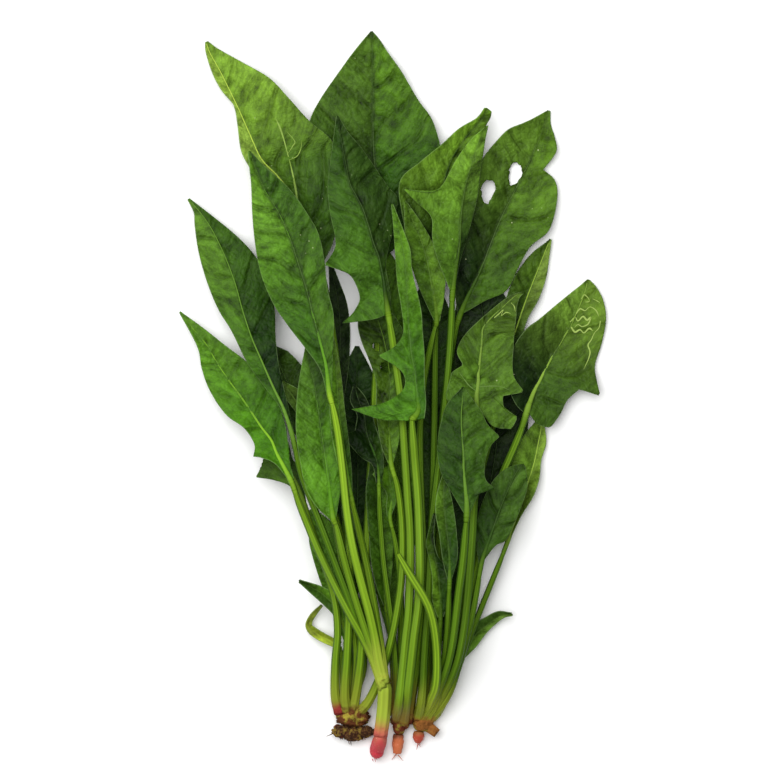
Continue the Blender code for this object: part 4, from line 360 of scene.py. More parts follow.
# The leaves in the order in which they are laid, the lowest first
LEAVES = [
    leaf("leaf_under_centre", "a", UNDER_CENTRE,
         [(-21.5, -158.0), (-19.0, -147.5), (-19.0, -127.5), (-20.5, -103.5)],
         (1.8, 1.3)),
    leaf("leaf_under_right", "d", UNDER_RIGHT,
         [(14.0, -162.5), (18.0, -145.0), (22.5, -123.5)],
         (1.8, 1.3)),
    leaf("leaf_under_far", "d", UNDER_FAR,
         [(15.0, -163.0), (25.0, -145.0), (33.0, -120.0), (37.5, -98.0), (40.0, -78.5)],
         (1.8, 1.3)),
    leaf("leaf_under_top", "c", UNDER_TOP,
         [(3.0, -160.0), (0.5, -144.0), (-1.5, -128.0), (-2.0, -119.5)],
         (1.7, 1.3)),
    leaf("leaf_under_crest", "a", UNDER_CREST,
         [(-21.0, -158.0), (-19.5, -130.0), (-23.0, -85.0), (-26.0, -45.0), (-28.0, -13.0)],
         (1.7, 1.2)),
    leaf("leaf_under_left", "a", UNDER_LEFT,
         [(-22.5, -158.5), (-21.5, -142.5), (-22.5, -130.0), (-23.5, -123.0)],
         (1.8, 1.2)),
    leaf("leaf_withered", "a", WITHERED,
         [(-24.0, -158.5), (-25.5, -145.0), (-26.0, -132.5), (-26.9, -125.5)],
         (1.8, 1.5)),
    leaf("leaf_low_left", "a", LOW_LEFT,
         [(-23.0, -158.5), (-22.0, -142.5), (-22.5, -125.0), (-25.2, -114.0)],
         (1.8, 1.2)),
    leaf("leaf_low_right", "d", LOW_RIGHT,
         [(15.0, -163.0), (23.0, -157.5), (29.0, -142.5), (34.2, -130.5)],
         (2.0, 1.4)),
    leaf("leaf_left_under", "a", LEFT_UNDER,
         [(-27.0, -158.5), (-29.5, -147.5), (-29.0, -127.5), (-28.0, -110.0), (-33.0, -90.0),
          (-39.5, -70.0), (-44.3, -54.5)],
         (2.3, 1.4)),
    leaf("leaf_left_dark", "a", LEFT_DARK,
         [(-22.0, -158.5), (-18.5, -147.5), (-15.0, -136.5), (-16.0, -117.5), (-22.0, -87.5),
          (-29.5, -57.5), (-36.6, -34.0)],
         (1.6, 1.2)),
    leaf("leaf_left_scrap", "a", LEFT_SCRAP,
         [(-22.0, -157.5), (-19.5, -142.5), (-19.5, -122.5), (-24.5, -92.5), (-32.0, -52.5),
          (-39.7, -23.6)],
         (1.8, 1.2)),
    leaf("leaf_top_centre", "a", TOP_CENTRE,
         [(-21.0, -158.5), (-18.0, -142.5), (-16.0, -122.5), (-14.0, -82.5), (-11.0, -27.5),
          (-8.0, 27.5), (-6.5, 68.0)],
         (2.4, 1.9)),
    leaf("leaf_right_behind", "d", RIGHT_BEHIND,
         [(14.0, -163.0), (23.0, -147.5), (30.5, -122.5), (37.0, -82.5), (40.5, -52.5),
          (48.0, -22.5), (53.8, 7.0)],
         (1.9, 1.3)),
    leaf("leaf_right_holed", "d", RIGHT_HOLED,
         [(13.0, -162.5), (16.0, -142.5), (20.0, -112.5), (22.0, -82.5), (23.0, -52.5),
          (23.5, -27.5), (25.5, -2.5), (29.0, 25.0), (32.8, 40.0)],
         (2.4, 1.8),
         holes=((47.0, 102.0, 3.3, 5.9, -0.22), (60.6, 110.6, 3.2, 6.0, -0.20))),
    leaf("leaf_top_left", "a", TOP_LEFT,
         [(-23.5, -158.5), (-24.5, -147.5), (-23.0, -122.5), (-22.0, -82.5), (-24.5, -32.5),
          (-29.5, 22.5), (-36.8, 66.0)],
         (2.3, 1.8)),
    leaf("leaf_crest_back", "d", CREST_BACK,
         [(12.5, -162.0), (15.0, -150.0), (17.0, -130.0), (18.0, -100.0), (19.0, -60.0),
          (20.0, -20.0), (20.5, 20.0), (21.0, 48.5)],
         (2.0, 1.6)),
    leaf("leaf_centre_yellow", "c", CENTRE_YELLOW,
         [(7.0, -163.5), (12.5, -127.5), (14.5, -102.5), (14.5, -72.5), (13.5, -47.5),
          (13.0, -17.5), (15.0, 7.5), (19.5, 30.0), (21.3, 35.5)],
         (2.0, 1.6)),
    leaf("leaf_crest_front", "d", CREST_FRONT,
         [(12.0, -161.5), (14.0, -147.5), (15.0, -127.5), (17.0, -102.5), (19.0, -62.5),
          (23.0, -27.5), (26.5, 7.5), (28.5, 35.0), (29.0, 51.5)],
         (2.2, 1.7)),
    leaf("leaf_right_pale", "d", RIGHT_PALE,
         [(17.0, -164.0), (30.5, -140.0), (36.0, -125.0), (42.0, -110.0), (48.0, -95.0),
          (52.5, -84.0), (56.3, -74.0)],
         (1.7, 1.3)),
    leaf("leaf_right_mined", "d", RIGHT_MINED,
         [(16.0, -163.0), (23.0, -147.5), (30.5, -127.5), (38.0, -102.5), (43.0, -77.5),
          (50.0, -52.5), (55.5, -36.0), (60.5, -25.0), (66.0, -9.5)],
         (2.2, 1.9)),
    leaf("leaf_right_dark", "d", RIGHT_DARK,
         [(16.0, -163.5), (28.0, -147.5), (34.0, -127.5), (38.0, -112.5), (41.0, -97.5),
          (43.0, -84.5)],
         (2.1, 1.5)),
    leaf("leaf_crumpled", "d", CRUMPLED,
         [(14.0, -162.0), (18.0, -152.5), (22.0, -127.5), (23.0, -111.5)],
         (1.9, 1.4)),
    leaf("leaf_right_narrow", "d", RIGHT_NARROW,
         [(14.0, -162.5), (21.0, -152.5), (25.5, -127.5), (27.0, -102.5), (27.5, -93.0)],
         (1.9, 1.4)),
    leaf("leaf_centre_low", "c", CENTRE_LOW,
         [(0.0, -160.0), (0.0, -142.5), (-0.5, -127.5), (-3.5, -109.0), (-4.0, -105.5)],
         (2.0, 1.5)),
    leaf("leaf_centre_young", "c", CENTRE_YOUNG,
         [(2.0, -160.0), (3.0, -130.0), (3.5, -100.0), (1.0, -75.0), (-2.3, -61.6)],
         (1.7, 1.3)),
    leaf("leaf_centre_curly", "c", CENTRE_CURLY,
         [(1.0, -161.0), (1.0, -140.0), (-1.0, -115.0), (-5.0, -85.0), (-7.0, -60.0),
          (-7.5, -44.5)],
         (1.7, 1.3)),
    leaf("leaf_old_holed", "a", OLD_HOLED,
         [(-18.5, -159.5), (-11.0, -150.0), (-4.5, -132.5), (0.0, -115.0), (3.5, -92.5),
          (4.0, -67.5), (2.0, -47.5), (-1.5, -35.0)],
         (2.2, 1.6),
         holes=((-8.6, 24.0, 1.9, 2.6, 0.2), (-3.6, 14.2, 3.4, 2.6, 0.5))),
    leaf("leaf_right_barbed", "d", RIGHT_BARBED,
         [(15.0, -163.0), (27.5, -142.5), (33.5, -122.5), (37.0, -92.5), (39.0, -67.5),
          (40.0, -45.0), (41.0, -20.0), (41.0, -7.5)],
         (2.3, 1.9)),
    leaf("leaf_right_front", "d", RIGHT_FRONT,
         [(13.0, -162.5), (19.0, -152.5), (25.5, -137.5), (29.0, -122.5), (32.0, -97.5),
          (34.0, -82.5), (35.5, -65.0), (36.0, -59.5)],
         (2.1, 1.8)),
    leaf("leaf_left_lower", "b", LEFT_LOWER,
         [(-5.0, -146.0), (-11.5, -128.5), (-18.5, -115.0), (-24.5, -104.0), (-34.5, -84.0),
          (-42.0, -66.5), (-47.0, -54.0), (-50.6, -43.0)],
         (2.3, 1.7)),
    leaf("leaf_left_upper", "b", LEFT_UPPER,
         [(-5.0, -145.0), (-10.5, -130.0), (-16.0, -117.5), (-22.0, -102.5), (-29.5, -82.5),
          (-38.0, -60.0), (-43.0, -47.5), (-46.5, -37.5), (-50.0, -21.0)],
         (2.2, 1.5)),
    leaf("leaf_left_long", "b", LEFT_LONG,
         [(-5.0, -144.0), (-9.5, -130.0), (-14.0, -117.5), (-20.0, -98.5), (-25.0, -80.0),
          (-28.5, -65.0), (-30.0, -62.0)],
         (2.1, 1.9)),
    leaf("leaf_left_narrow", "b", LEFT_NARROW,
         [(-5.0, -143.0), (-6.5, -127.5), (-9.0, -110.0), (-13.0, -87.5), (-17.5, -67.5),
          (-21.6, -50.5)],
         (2.3, 1.7)),
    leaf("leaf_left_front", "b", LEFT_FRONT,
         [(-5.0, -143.0), (-8.0, -130.0), (-10.5, -115.0), (-15.0, -97.5), (-20.5, -75.0),
          (-24.0, -52.5), (-26.5, -27.5), (-29.5, -9.0), (-31.8, -0.5)],
         (2.6, 1.8)),
    leaf("leaf_centre_lobed", "c", CENTRE_LOBED,
         [(1.0, -162.5), (3.0, -147.5), (5.5, -122.5), (7.5, -102.5), (8.0, -72.5),
          (6.5, -47.5), (4.5, -17.5), (3.0, 0.0), (-0.5, 25.0), (-3.0, 41.5)],
         (2.3, 2.0)),
    leaf("leaf_centre_folded", "c", CENTRE_FOLDED,
         [(4.5, -164.5), (7.0, -145.0), (9.5, -122.5), (12.5, -97.5), (12.5, -72.5),
          (11.5, -47.5), (9.0, -17.5), (9.2, -11.5)],
         (2.4, 2.2)),
]

# Stalk that lost its blade, and the stub of a cut one
BROKEN_STALK = [
    (14.0, -162.0), (18.0, -152.5), (21.0, -142.5), (20.8, -122.5), (17.2, -105.0),
    (8.0, -89.0), (2.0, -78.5),
]
TAN_STUB = [(15.0, -164.0), (21.5, -169.0)]


def look(left, right, rib, rise=(0.3, -0.3), pucker=1.0, spacing=19.0, stalk=0.6, mottle=1.0,
         speck=0.0, groove=0.5, wave=1.0):
    """Colours of a blade as screen values, each near the base and near the tip, left and right
    of its rib: each holds the light and shade that fall on that part, painted in.  Shares: how
    its rib stands out, how bumpy, mottled and specked it is, how light its stalk, how much shade
    is painted in the groove beside its rib, how waved its edge.  Spacing of its side veins in
    millimetres."""
    return {"left": left, "right": right, "rib": rib, "rise": rise, "pucker": pucker,
            "spacing": spacing, "stalk": stalk, "mottle": mottle, "speck": speck,
            "groove": groove, "wave": wave}


def deep_shaded_look(base, stalk=0.25):
    """Look of a blade deep in the bunch: one colour all over, with the shade that falls there
    painted in, and a darker stalk.
    """
    return look((base, base), (base, base), base, pucker=0.6, stalk=stalk)


# Blade colours as the blades look in the bunch: the lit side and the shaded side of a blade, a base
# in the shade of the blades above, and the darkness of the blades deep in the bunch are painted
# light and shade
LOOKS = {
    "leaf_under_centre": deep_shaded_look((26, 54, 10)),
    "leaf_under_right": deep_shaded_look((34, 62, 14)),
    "leaf_under_far": deep_shaded_look((22, 42, 12), 0.3),
    "leaf_under_top": deep_shaded_look((90, 132, 42), 0.4),
    "leaf_under_crest": deep_shaded_look((24, 44, 10), 0.3),
    "leaf_under_left": deep_shaded_look((84, 126, 38), 0.5),
    "leaf_withered": look(((176, 190, 70), (150, 158, 80)), ((126, 138, 34), (120, 132, 40)),
                          (160, 172, 60), stalk=0.7),
    "leaf_low_left": look(((60, 92, 30), (60, 94, 34)), ((104, 152, 44), (74, 110, 38)),
                          (88, 122, 44)),
    "leaf_low_right": look(((50, 80, 28), (74, 108, 42)), ((106, 148, 58), (120, 154, 78)),
                           (92, 130, 50), stalk=0.75),
    "leaf_left_under": look(((70, 102, 32), (60, 92, 28)), ((47, 75, 22), (44, 72, 20)),
                            (104, 130, 50), pucker=0.6),
    "leaf_left_dark": look(((40, 68, 14), (44, 70, 18)), ((44, 70, 18), (48, 74, 20)),
                           (62, 92, 30)),
    "leaf_left_scrap": look(((62, 90, 28), (80, 108, 44)), ((60, 88, 28), (80, 106, 46)),
                            (92, 122, 48), wave=2.5),
    "leaf_top_centre": look(((38, 66, 14), (76, 108, 38)), ((40, 76, 14), (84, 122, 36)),
                            (44, 78, 22), rise=(0.45, -0.6), pucker=1.5, spacing=21.0,
                            mottle=1.15, speck=0.7, groove=0.8),
    "leaf_right_behind": look(((32, 60, 10), (76, 106, 34)), ((30, 56, 8), (126, 152, 78)),
                              (148, 176, 88), rise=(0.6, 0.3), groove=0.2),
    "leaf_right_holed": look(((18, 40, 4), (94, 128, 48)), ((62, 94, 26), (94, 130, 42)),
                             (56, 84, 24), rise=(0.2, -0.4), pucker=1.2, spacing=24.0,
                             mottle=1.1, speck=1.0, groove=0.7),
    "leaf_top_left": look(((152, 184, 106), (154, 184, 90)), ((54, 86, 24), (126, 162, 66)),
                          (190, 212, 112), rise=(0.7, 0.45), pucker=1.4, spacing=17.0,
                          mottle=1.15, speck=0.5, groove=0.3),
    "leaf_crest_back": look(((22, 46, 8), (124, 166, 60)), ((46, 82, 16), (92, 126, 38)),
                            (34, 62, 16), groove=0.9),
    "leaf_centre_yellow": look(((72, 106, 32), (82, 116, 36)), ((92, 128, 42), (78, 110, 34)),
                               (88, 118, 42), groove=0.3),
    "leaf_crest_front": look(((82, 120, 40), (122, 166, 66)), ((22, 48, 8), (108, 146, 62)),
                             (66, 94, 30), speck=0.4, groove=0.7),
    "leaf_right_pale": look(((80, 116, 38), (112, 148, 60)), ((106, 138, 56), (128, 158, 70)),
                            (160, 188, 98), rise=(0.5, 0.2), groove=0.2),
    "leaf_right_mined": look(((18, 42, 6), (112, 146, 64)), ((60, 90, 28), (104, 134, 50)),
                             (140, 170, 86), rise=(0.5, 0.0), pucker=0.9, spacing=22.0,
                             speck=0.6, stalk=0.75, groove=0.3),
    "leaf_right_dark": look(((38, 68, 14), (62, 94, 32)), ((60, 92, 32), (66, 98, 36)),
                            (50, 80, 26), groove=0.6),
    "leaf_crumpled": look(((106, 146, 46), (72, 106, 34)), ((38, 68, 18), (10, 32, 4)),
                          (58, 88, 26), pucker=1.7, wave=3.0),
    "leaf_right_narrow": look(((42, 72, 16), (98, 136, 52)), ((40, 74, 14), (64, 96, 32)),
                              (62, 92, 30)),
    "leaf_centre_low": look(((68, 106, 28), (44, 74, 18)), ((80, 118, 38), (72, 110, 28)),
                            (74, 108, 34)),
    "leaf_centre_young": look(((68, 104, 26), (92, 136, 32)), ((58, 94, 20), (84, 126, 30)),
                              (84, 124, 40)),
    "leaf_centre_curly": look(((20, 42, 8), (14, 34, 4)), ((36, 64, 12), (8, 28, 2)),
                              (48, 84, 18), pucker=1.6, wave=3.5),
    "leaf_old_holed": look(((72, 102, 24), (44, 66, 14)), ((80, 114, 38), (50, 78, 18)),
                           (88, 118, 38), mottle=1.5, groove=0.3, wave=1.8),
    "leaf_right_barbed": look(((78, 112, 38), (70, 94, 34)), ((84, 118, 44), (74, 100, 34)),
                              (126, 154, 82), rise=(0.3, 0.0), pucker=1.2, spacing=17.0,
                              speck=0.9, groove=0.2),
    "leaf_right_front": look(((42, 74, 18), (50, 82, 24)), ((54, 88, 24), (70, 104, 34)),
                             (100, 136, 62), rise=(0.5, -0.1), pucker=1.2, spacing=17.0,
                             speck=0.7, groove=0.4),
    "leaf_left_lower": look(((74, 128, 18), (94, 142, 46)), ((64, 112, 22), (88, 130, 44)),
                            (136, 184, 60), rise=(0.6, -0.2), pucker=1.1, groove=0.3),
    "leaf_left_upper": look(((60, 100, 24), (94, 134, 50)), ((14, 44, 2), (62, 98, 30)),
                            (104, 142, 68), rise=(0.4, 0.1), groove=0.4, stalk=0.2),
    "leaf_left_long": look(((92, 142, 42), (78, 116, 44)), ((82, 130, 34), (54, 86, 24)),
                           (88, 138, 36), rise=(0.5, -0.4), pucker=0.8, stalk=0.55, groove=0.5),
    "leaf_left_narrow": look(((86, 132, 34), (98, 144, 42)), ((54, 90, 22), (92, 124, 42)),
                             (98, 140, 48)),
    "leaf_left_front": look(((58, 98, 26), (102, 148, 54)), ((70, 108, 32), (62, 98, 32)),
                            (96, 146, 46), rise=(0.5, -0.6), pucker=1.4, spacing=18.0,
                            stalk=1.0, mottle=1.2, speck=0.4, groove=0.9),
    "leaf_centre_lobed": look(((70, 110, 34), (50, 82, 24)), ((40, 66, 18), (48, 76, 26)),
                              (34, 60, 14), rise=(0.2, -0.5), spacing=20.0, stalk=0.9,
                              speck=0.3, groove=0.9),
    "leaf_centre_folded": look(((76, 124, 34), (90, 134, 38)), ((58, 102, 26), (100, 146, 46)),
                               (70, 112, 34), rise=(0.1, -0.3), pucker=0.7, stalk=0.95,
                               groove=0.4),
}

# Colours of the stalk bases and roots, as screen values
STALK_LIGHT = (138, 176, 38)
STALK_DEEP = (56, 94, 8)
BASE_TINTS = {"a": (138, 146, 44), "b": (164, 178, 62), "c": (136, 104, 42), "d": (144, 152, 44)}
CROWN_TINTS = {"a": (98, 56, 30), "b": (150, 168, 56), "c": (116, 56, 36), "d": (150, 96, 46)}
RED_TINTS = {"a": (136, 48, 42), "b": (190, 80, 80)}
PLANT_TONES = {"a": 1.0, "b": 1.0, "c": 0.62, "d": 0.45}
ROOT_REDS = {"root_b": ((178, 88, 70), (186, 50, 62)), "root_c": ((116, 60, 34), (188, 100, 60)),
             "root_d": ((150, 90, 46), (176, 68, 46))}
DIRT_DARK = (52, 28, 18)
DIRT_LIGHT = (112, 78, 42)

# Winding tracks that leaf miners left, and side veins that stand out pale: x, y and half width
TRACKS = {
    "leaf_right_mined": [
        ([(88.0, 36.5), (90.5, 38.8), (92.0, 37.0), (94.5, 39.2), (96.5, 37.4), (98.2, 38.6),
          (97.0, 35.4), (94.0, 34.2), (92.0, 35.2), (90.0, 33.6)], 0.55),
        ([(88.5, 34.0), (90.5, 31.5), (93.0, 32.6), (95.0, 31.0), (97.5, 33.2), (99.5, 32.0)], 0.6),
        ([(91.0, 40.5), (93.0, 43.0), (95.5, 42.2), (98.0, 44.0), (101.0, 42.2), (102.5, 39.0)],
         0.4),
        ([(103.2, 37.0), (102.4, 33.5), (100.2, 31.0), (98.6, 27.5), (97.0, 25.0), (98.0, 21.5),
          (97.2, 18.0), (95.8, 15.0), (94.6, 12.5)], 0.4),
        ([(93.5, 47.8), (95.0, 50.0), (96.8, 48.8), (97.6, 46.8), (95.4, 46.4)], 0.32),
        ([(99.5, 48.0), (101.5, 47.0), (103.0, 46.0)], 0.3),
    ],
    "leaf_right_barbed": [
        ([(50.0, 38.5), (52.5, 40.6), (54.5, 42.4), (53.5, 39.6), (56.0, 41.2), (58.5, 40.6)], 0.3),
        ([(58.5, 46.0), (60.0, 44.2), (60.6, 41.2)], 0.28),
    ],
}
SIDE_VEINS = {
    "leaf_top_left": [
        ([(-47.5, 92.5), (-48.8, 101.0), (-50.8, 111.5), (-53.2, 121.0), (-56.2, 131.5),
          (-59.2, 138.5)], 0.62),
        ([(-52.5, 117.0), (-48.5, 119.0), (-46.5, 122.5), (-46.0, 127.0)], 0.36),
        ([(-52.8, 120.5), (-50.5, 124.0), (-49.5, 126.5), (-53.5, 131.5)], 0.36),
    ],
    "leaf_right_barbed": [
        ([(41.6, 1.5), (37.5, 4.6), (34.5, 8.4), (32.4, 11.4)], 0.34),
        ([(42.0, 4.0), (47.0, 4.4), (53.0, 4.2), (57.5, 2.4)], 0.3),
    ],
}
VEIN_TINTS = {"leaf_top_left": (128, 158, 62), "leaf_right_barbed": (98, 130, 54)}
TRACK_TINT = (152, 178, 84)

# Small colours of the surfaces, as screen values
SPECK_TINT = (190, 200, 150)
# Painted highlight along a blade's edge
EDGE_HIGHLIGHT = (112, 138, 84)
# Painted shade on the sides of stalks and ribs
STALK_SIDE_SHADE = (40, 74, 12)
# Painted shade in the channel along a stalk's top
CHANNEL_SHADE = (84, 128, 14)
CROWN_SHEATH = (150, 136, 50)
ROOT_DUST = (226, 196, 170)
DIRT_RED = (126, 40, 44)
DIRT_TAN = (156, 132, 54)
# Linear colour of the sheen painted on the raised parts of a blade, a painted highlight, and what
# the sky's own sheen asks of each channel
RIDGE_SHEEN = (0.27, 0.40, 0.10, 1.0)
BLADE_BALANCE = (1.02, 1.10, 0.55)
# Brightness of a blade, and how much each kind of unevenness changes it: the wide and small mottles
# are partly the blade's own tone and partly painted light and shade on its puckers; the folds and
# the relief are painted light on the ridges and painted shade in the hollows
BLADE_LIGHT = 0.685
MOTTLE_WIDE, MOTTLE_SMALL, FOLD_SHADING, RELIEF_SHADING = 0.7, 0.6, 1.35, 0.22
GRAIN = 0.42
VEIN_SHADE, NET_DARK, GROOVE_SHADE = 0.30, 0.16, 0.5
# Half width of the shade painted in a side vein's valley
VEIN_HALF = 2.4
BLADE_SHINE, STALK_SHINE, ROOT_SHINE, EARTH_SHINE = 0.1, 0.1, 0.3, 0.15

# Stage, in metres
FLOOR_HALF = 6.0
LAMP_SIZE = 2.0
LAMP_PLACE = (-0.42, 0.40, 1.35)
CAMERA_PLACE = (-0.0044, 0.00525)
SENSOR_WIDTH = 36.0


def linear(colour):
    """Linear colour of a screen colour: each channel's sRGB curve undone."""
    value = np.asarray(colour, dtype=float) / 255.0
    value = np.where(value <= 0.04045, value / 12.92, ((value + 0.055) / 1.055) ** 2.4)
    return (*(float(c) for c in value), 1.0)


def mixed(first, second, share):
    """Linear colour between two screen colours."""
    pair = np.array([linear(first), linear(second)])
    return tuple(float(c) for c in pair[0] * (1.0 - share) + pair[1] * share)


def blade_colour(colour):
    """Colour of a blade without the sheen that the sky adds to it, which is mostly blue."""
    red, green, blue, full = linear(colour)
    return (red * BLADE_BALANCE[0], green * BLADE_BALANCE[1], blue * BLADE_BALANCE[2], full)


def spline(points, count, sharp=0.9):
    """Cubic Hermite curve through the points; at each, the slope is half the way from the
    point before to the point after, and it breaks where the line turns by over sharp radians."""
    p = np.asarray(points, dtype=float)
    step = np.diff(p, axis=0)
    inner = 0.5 * (step[1:] + step[:-1])
    before = np.vstack([step[:1], inner, step[-1:]])
    after = before.copy()
    length = np.linalg.norm(step, axis=1) + 1e-9
    cosine = (step[1:] * step[:-1]).sum(1) / (length[1:] * length[:-1])
    turned = np.nonzero(cosine < math.cos(sharp))[0] + 1
    before[turned] = step[turned - 1]
    after[turned] = step[turned]
    t = np.linspace(0.0, len(p) - 1.0, count)
    i = np.minimum(t.astype(int), len(p) - 2)
    f = (t - i)[:, None]
    return ((2 * f**3 - 3 * f**2 + 1) * p[i] + (f**3 - 2 * f**2 + f) * after[i]
            + (3 * f**2 - 2 * f**3) * p[i + 1] + (f**3 - f**2) * before[i + 1])


def left_of(line):
    """Unit vector to the left of a line, seen from above, at each of its points."""
    along = np.gradient(line[:, :2], axis=0)
    along /= np.linalg.norm(along, axis=1)[:, None] + 1e-9
    return np.column_stack([-along[:, 1], along[:, 0]])


def outline_rows(outline):
    """Left edge, rib and right edge of a blade, each as rows of x, y."""
    if isinstance(outline, list):
        table = np.asarray(outline, dtype=float)
        return table[:, 0:2], table[:, 2:4], table[:, 4:6]
    spine = spline(outline[0], 8)
    half = spline([(h, 0.0) for h in outline[1]], 8)[:, 0]
    side = left_of(spine) * half[:, None]
    return spine + side, spine, spine - side


def node_points(node):
    """Corners of a node's solid in millimetres."""
    corners = frame["nodes"][node].data.vertices
    spots = np.empty(len(corners) * 3)
    corners.foreach_get("co", spots)
    return spots.reshape(-1, 3) * 1000.0


def solid_height(spots, plan, reach=0.08):
    """Highest corner of a solid within reach of each plan point, or nan."""
    flat = plan.reshape(-1, 2)
    away = np.hypot(flat[:, None, 0] - spots[None, :, 0], flat[:, None, 1] - spots[None, :, 1])
    height = np.where(away < reach, spots[None, :, 2], -np.inf).max(axis=1)
    return np.where(np.isfinite(height), height, np.nan).reshape(plan.shape[:-1])


def fill_gaps(height):
    """Missing heights of a column lie on the line between its known neighbours."""
    t = np.arange(len(height))
    filled = height.copy()
    for j in range(height.shape[1]):
        known = np.isfinite(height[:, j])
        if known.any():
            filled[:, j] = np.interp(t, t[known], height[known, j])
    lost = ~np.isfinite(filled)
    filled[lost] = np.nanmean(filled)
    return filled


def ripple(x, y, size, seed):
    """Smooth unevenness from -1 to 1: a mean of seven sine waves of about one size, each
    with its own direction and phase from the seed."""
    draw = np.random.default_rng(seed)
    total = np.zeros_like(x)
    for _ in range(7):
        turn = draw.uniform(0.0, 2 * math.pi)
        wave = 2 * math.pi / (size * draw.uniform(0.75, 1.35))
        phase = draw.uniform(0.0, 2 * math.pi)
        total += np.sin(wave * (x * math.cos(turn) + y * math.sin(turn)) + phase)
    return total / 7.0 * 1.9


def dense(grid, times):
    """The grid with each cell cut into times by times, linear in between."""
    for axis in (0, 1):
        moved = np.moveaxis(grid, axis, 0)
        t = np.linspace(0.0, len(moved) - 1.0, (len(moved) - 1) * times + 1)
        i = np.minimum(t.astype(int), len(moved) - 2)
        f = (t - i).reshape(-1, *([1] * (moved.ndim - 1)))
        grid = np.moveaxis(moved[i] * (1 - f) + moved[i + 1] * f, 0, axis)
    return grid


class Heap:
    """Tops of the blades and of the stalks laid so far, on a plane grid of small cells."""

    def __init__(self):
        self.tops = {"blades": np.zeros(HEAP_SIZE), "stalks": np.zeros(HEAP_SIZE)}

    def cells(self, x, y):
        """Indices of the cells that hold the points."""
        i = np.clip(((x - HEAP_LOW[0]) / HEAP_CELL).astype(int), 0, HEAP_SIZE[0] - 1)
        j = np.clip(((y - HEAP_LOW[1]) / HEAP_CELL).astype(int), 0, HEAP_SIZE[1] - 1)
        return i, j

    def add(self, layer, x, y, z):
        """Each cell keeps the greatest height laid in it."""
        i, j = self.cells(x, y)
        np.maximum.at(self.tops[layer], (i, j), z)

    def height(self, x, y, layers=("blades", "stalks")):
        """Greatest height of the layers at the points."""
        i, j = self.cells(x, y)
        return np.max([self.tops[layer][i, j] for layer in layers], axis=0)


def relax(need, rounds):
    """Lift that is nowhere below the need and falls off smoothly: neighbours' mean, again
    and again, never under the need."""
    lift = need.copy()
    for _ in range(rounds):
        wide = np.pad(lift, 1, mode="edge")
        mean = (wide[:-2, 1:-1] + wide[2:, 1:-1] + wide[1:-1, :-2] + wide[1:-1, 2:]) / 4.0
        lift = np.maximum(mean * LIFT_FALL, need)
    return lift


def lift_blade(heap, place, low):
    """How far a blade has to rise to clear the heap: the greatest shortfall in each cell of
    its grid, relaxed."""
    rows, columns = low.shape
    fine = dense(np.dstack([place, low]), 3)
    short = heap.height(fine[..., 0], fine[..., 1]) + BLADE_GAP - fine[..., 2]
    need = np.zeros((rows, columns))
    a = np.arange(fine.shape[0])
    b = np.arange(fine.shape[1])
    for i in (a // 3, np.minimum(a // 3 + 1, rows - 1)):
        for j in (b // 3, np.minimum(b // 3 + 1, columns - 1)):
            np.maximum.at(need, (i[:, None], j[None, :]), np.maximum(short, 0.0))
    return relax(need, BLADE_ROUNDS)


def blade_columns(reach, rib_width):
    """Share of the way from rib to edge for each column: four close to the rib at fixed
    distances, then even steps, and one more just inside the edge."""
    steps = max(4, int(math.ceil(reach.max() / STEP_ACROSS)))
    near = np.minimum(rib_width, 0.12 * reach + 1e-6)
    inner = [near * 0.0, near * 0.6, near * 1.2, near * 2.0]
    margin = np.minimum(0.7, 0.2 * reach)
    outer = [near * 2.0 + (reach - margin - near * 2.0) * k / steps for k in range(1, steps + 1)]
    return np.column_stack(inner + outer + [reach]) / (reach[:, None] + 1e-9)


def blade_surface(item):
    """Finished blade as a grid: plan place, height of its top, and for each point its place
    along the rib, its distance from the rib and its reach.  Edges and rib are splines through
    the outline; heights are splines along the rows and parabolas from rib to edge."""
    left, rib, right = (side + SHIFT for side in outline_rows(item["outline"]))
    spots = node_points(item["name"])
    coarse = np.stack([left, (left + rib) / 2, rib, (rib + right) / 2, right], axis=1)
    heights = fill_gaps(solid_height(spots, coarse))
    length = np.linalg.norm(np.diff(rib, axis=0), axis=1).sum()
    rows = int(np.clip(length / STEP_ALONG, 24, 96))
    left, rib, right = (spline(side, rows) for side in (left, rib, right))
    tall = np.column_stack([spline(heights[:, j:j + 1], rows, NO_CORNER) for j in range(5)])
    s = np.concatenate([[0.0], np.cumsum(np.linalg.norm(np.diff(rib, axis=0), axis=1))])
    along = np.gradient(rib, axis=0)
    along /= np.linalg.norm(along, axis=1)[:, None] + 1e-9
    rib_width = np.interp(s / s[-1], [0.0, 1.0], [item["radii"][1], 0.35])
    if item["name"].startswith("leaf_under_"):
        spread = WIDE_SPREAD if item["name"] in WIDE_UNDER else UNDER_SPREAD
        left = rib + (left - rib) * spread
        right = rib + (right - rib) * spread
    halves = []
    for edge, mid, far, sign in ((left, 1, 0, -1.0), (right, 3, 4, 1.0)):
        out = edge - rib
        reach = np.linalg.norm(out, axis=1)
        share = blade_columns(reach, rib_width)
        place = rib[:, None] + out[:, None] * share[..., None]
        z0, z1, z2 = (tall[:, k][:, None] for k in (2, mid, far))
        z = z0 + share * (4 * z1 - 3 * z0 - z2) + 2 * share**2 * (z0 - 2 * z1 + z2)
        gap = place - rib[:, None]
        a = s[:, None] + (gap * along[:, None]).sum(-1)
        d = np.abs(gap[..., 0] * along[:, None, 1] - gap[..., 1] * along[:, None, 0]) * sign
        halves.append((place, z, a, d, share))
    joined = [np.concatenate([first[:, :0:-1], second], axis=1)
              for first, second in zip(*halves)]
    place, z, a, d, share = joined
    return {"place": place, "z": z, "along": a, "across": d, "share": share, "s": s,
            "length": s[-1]}


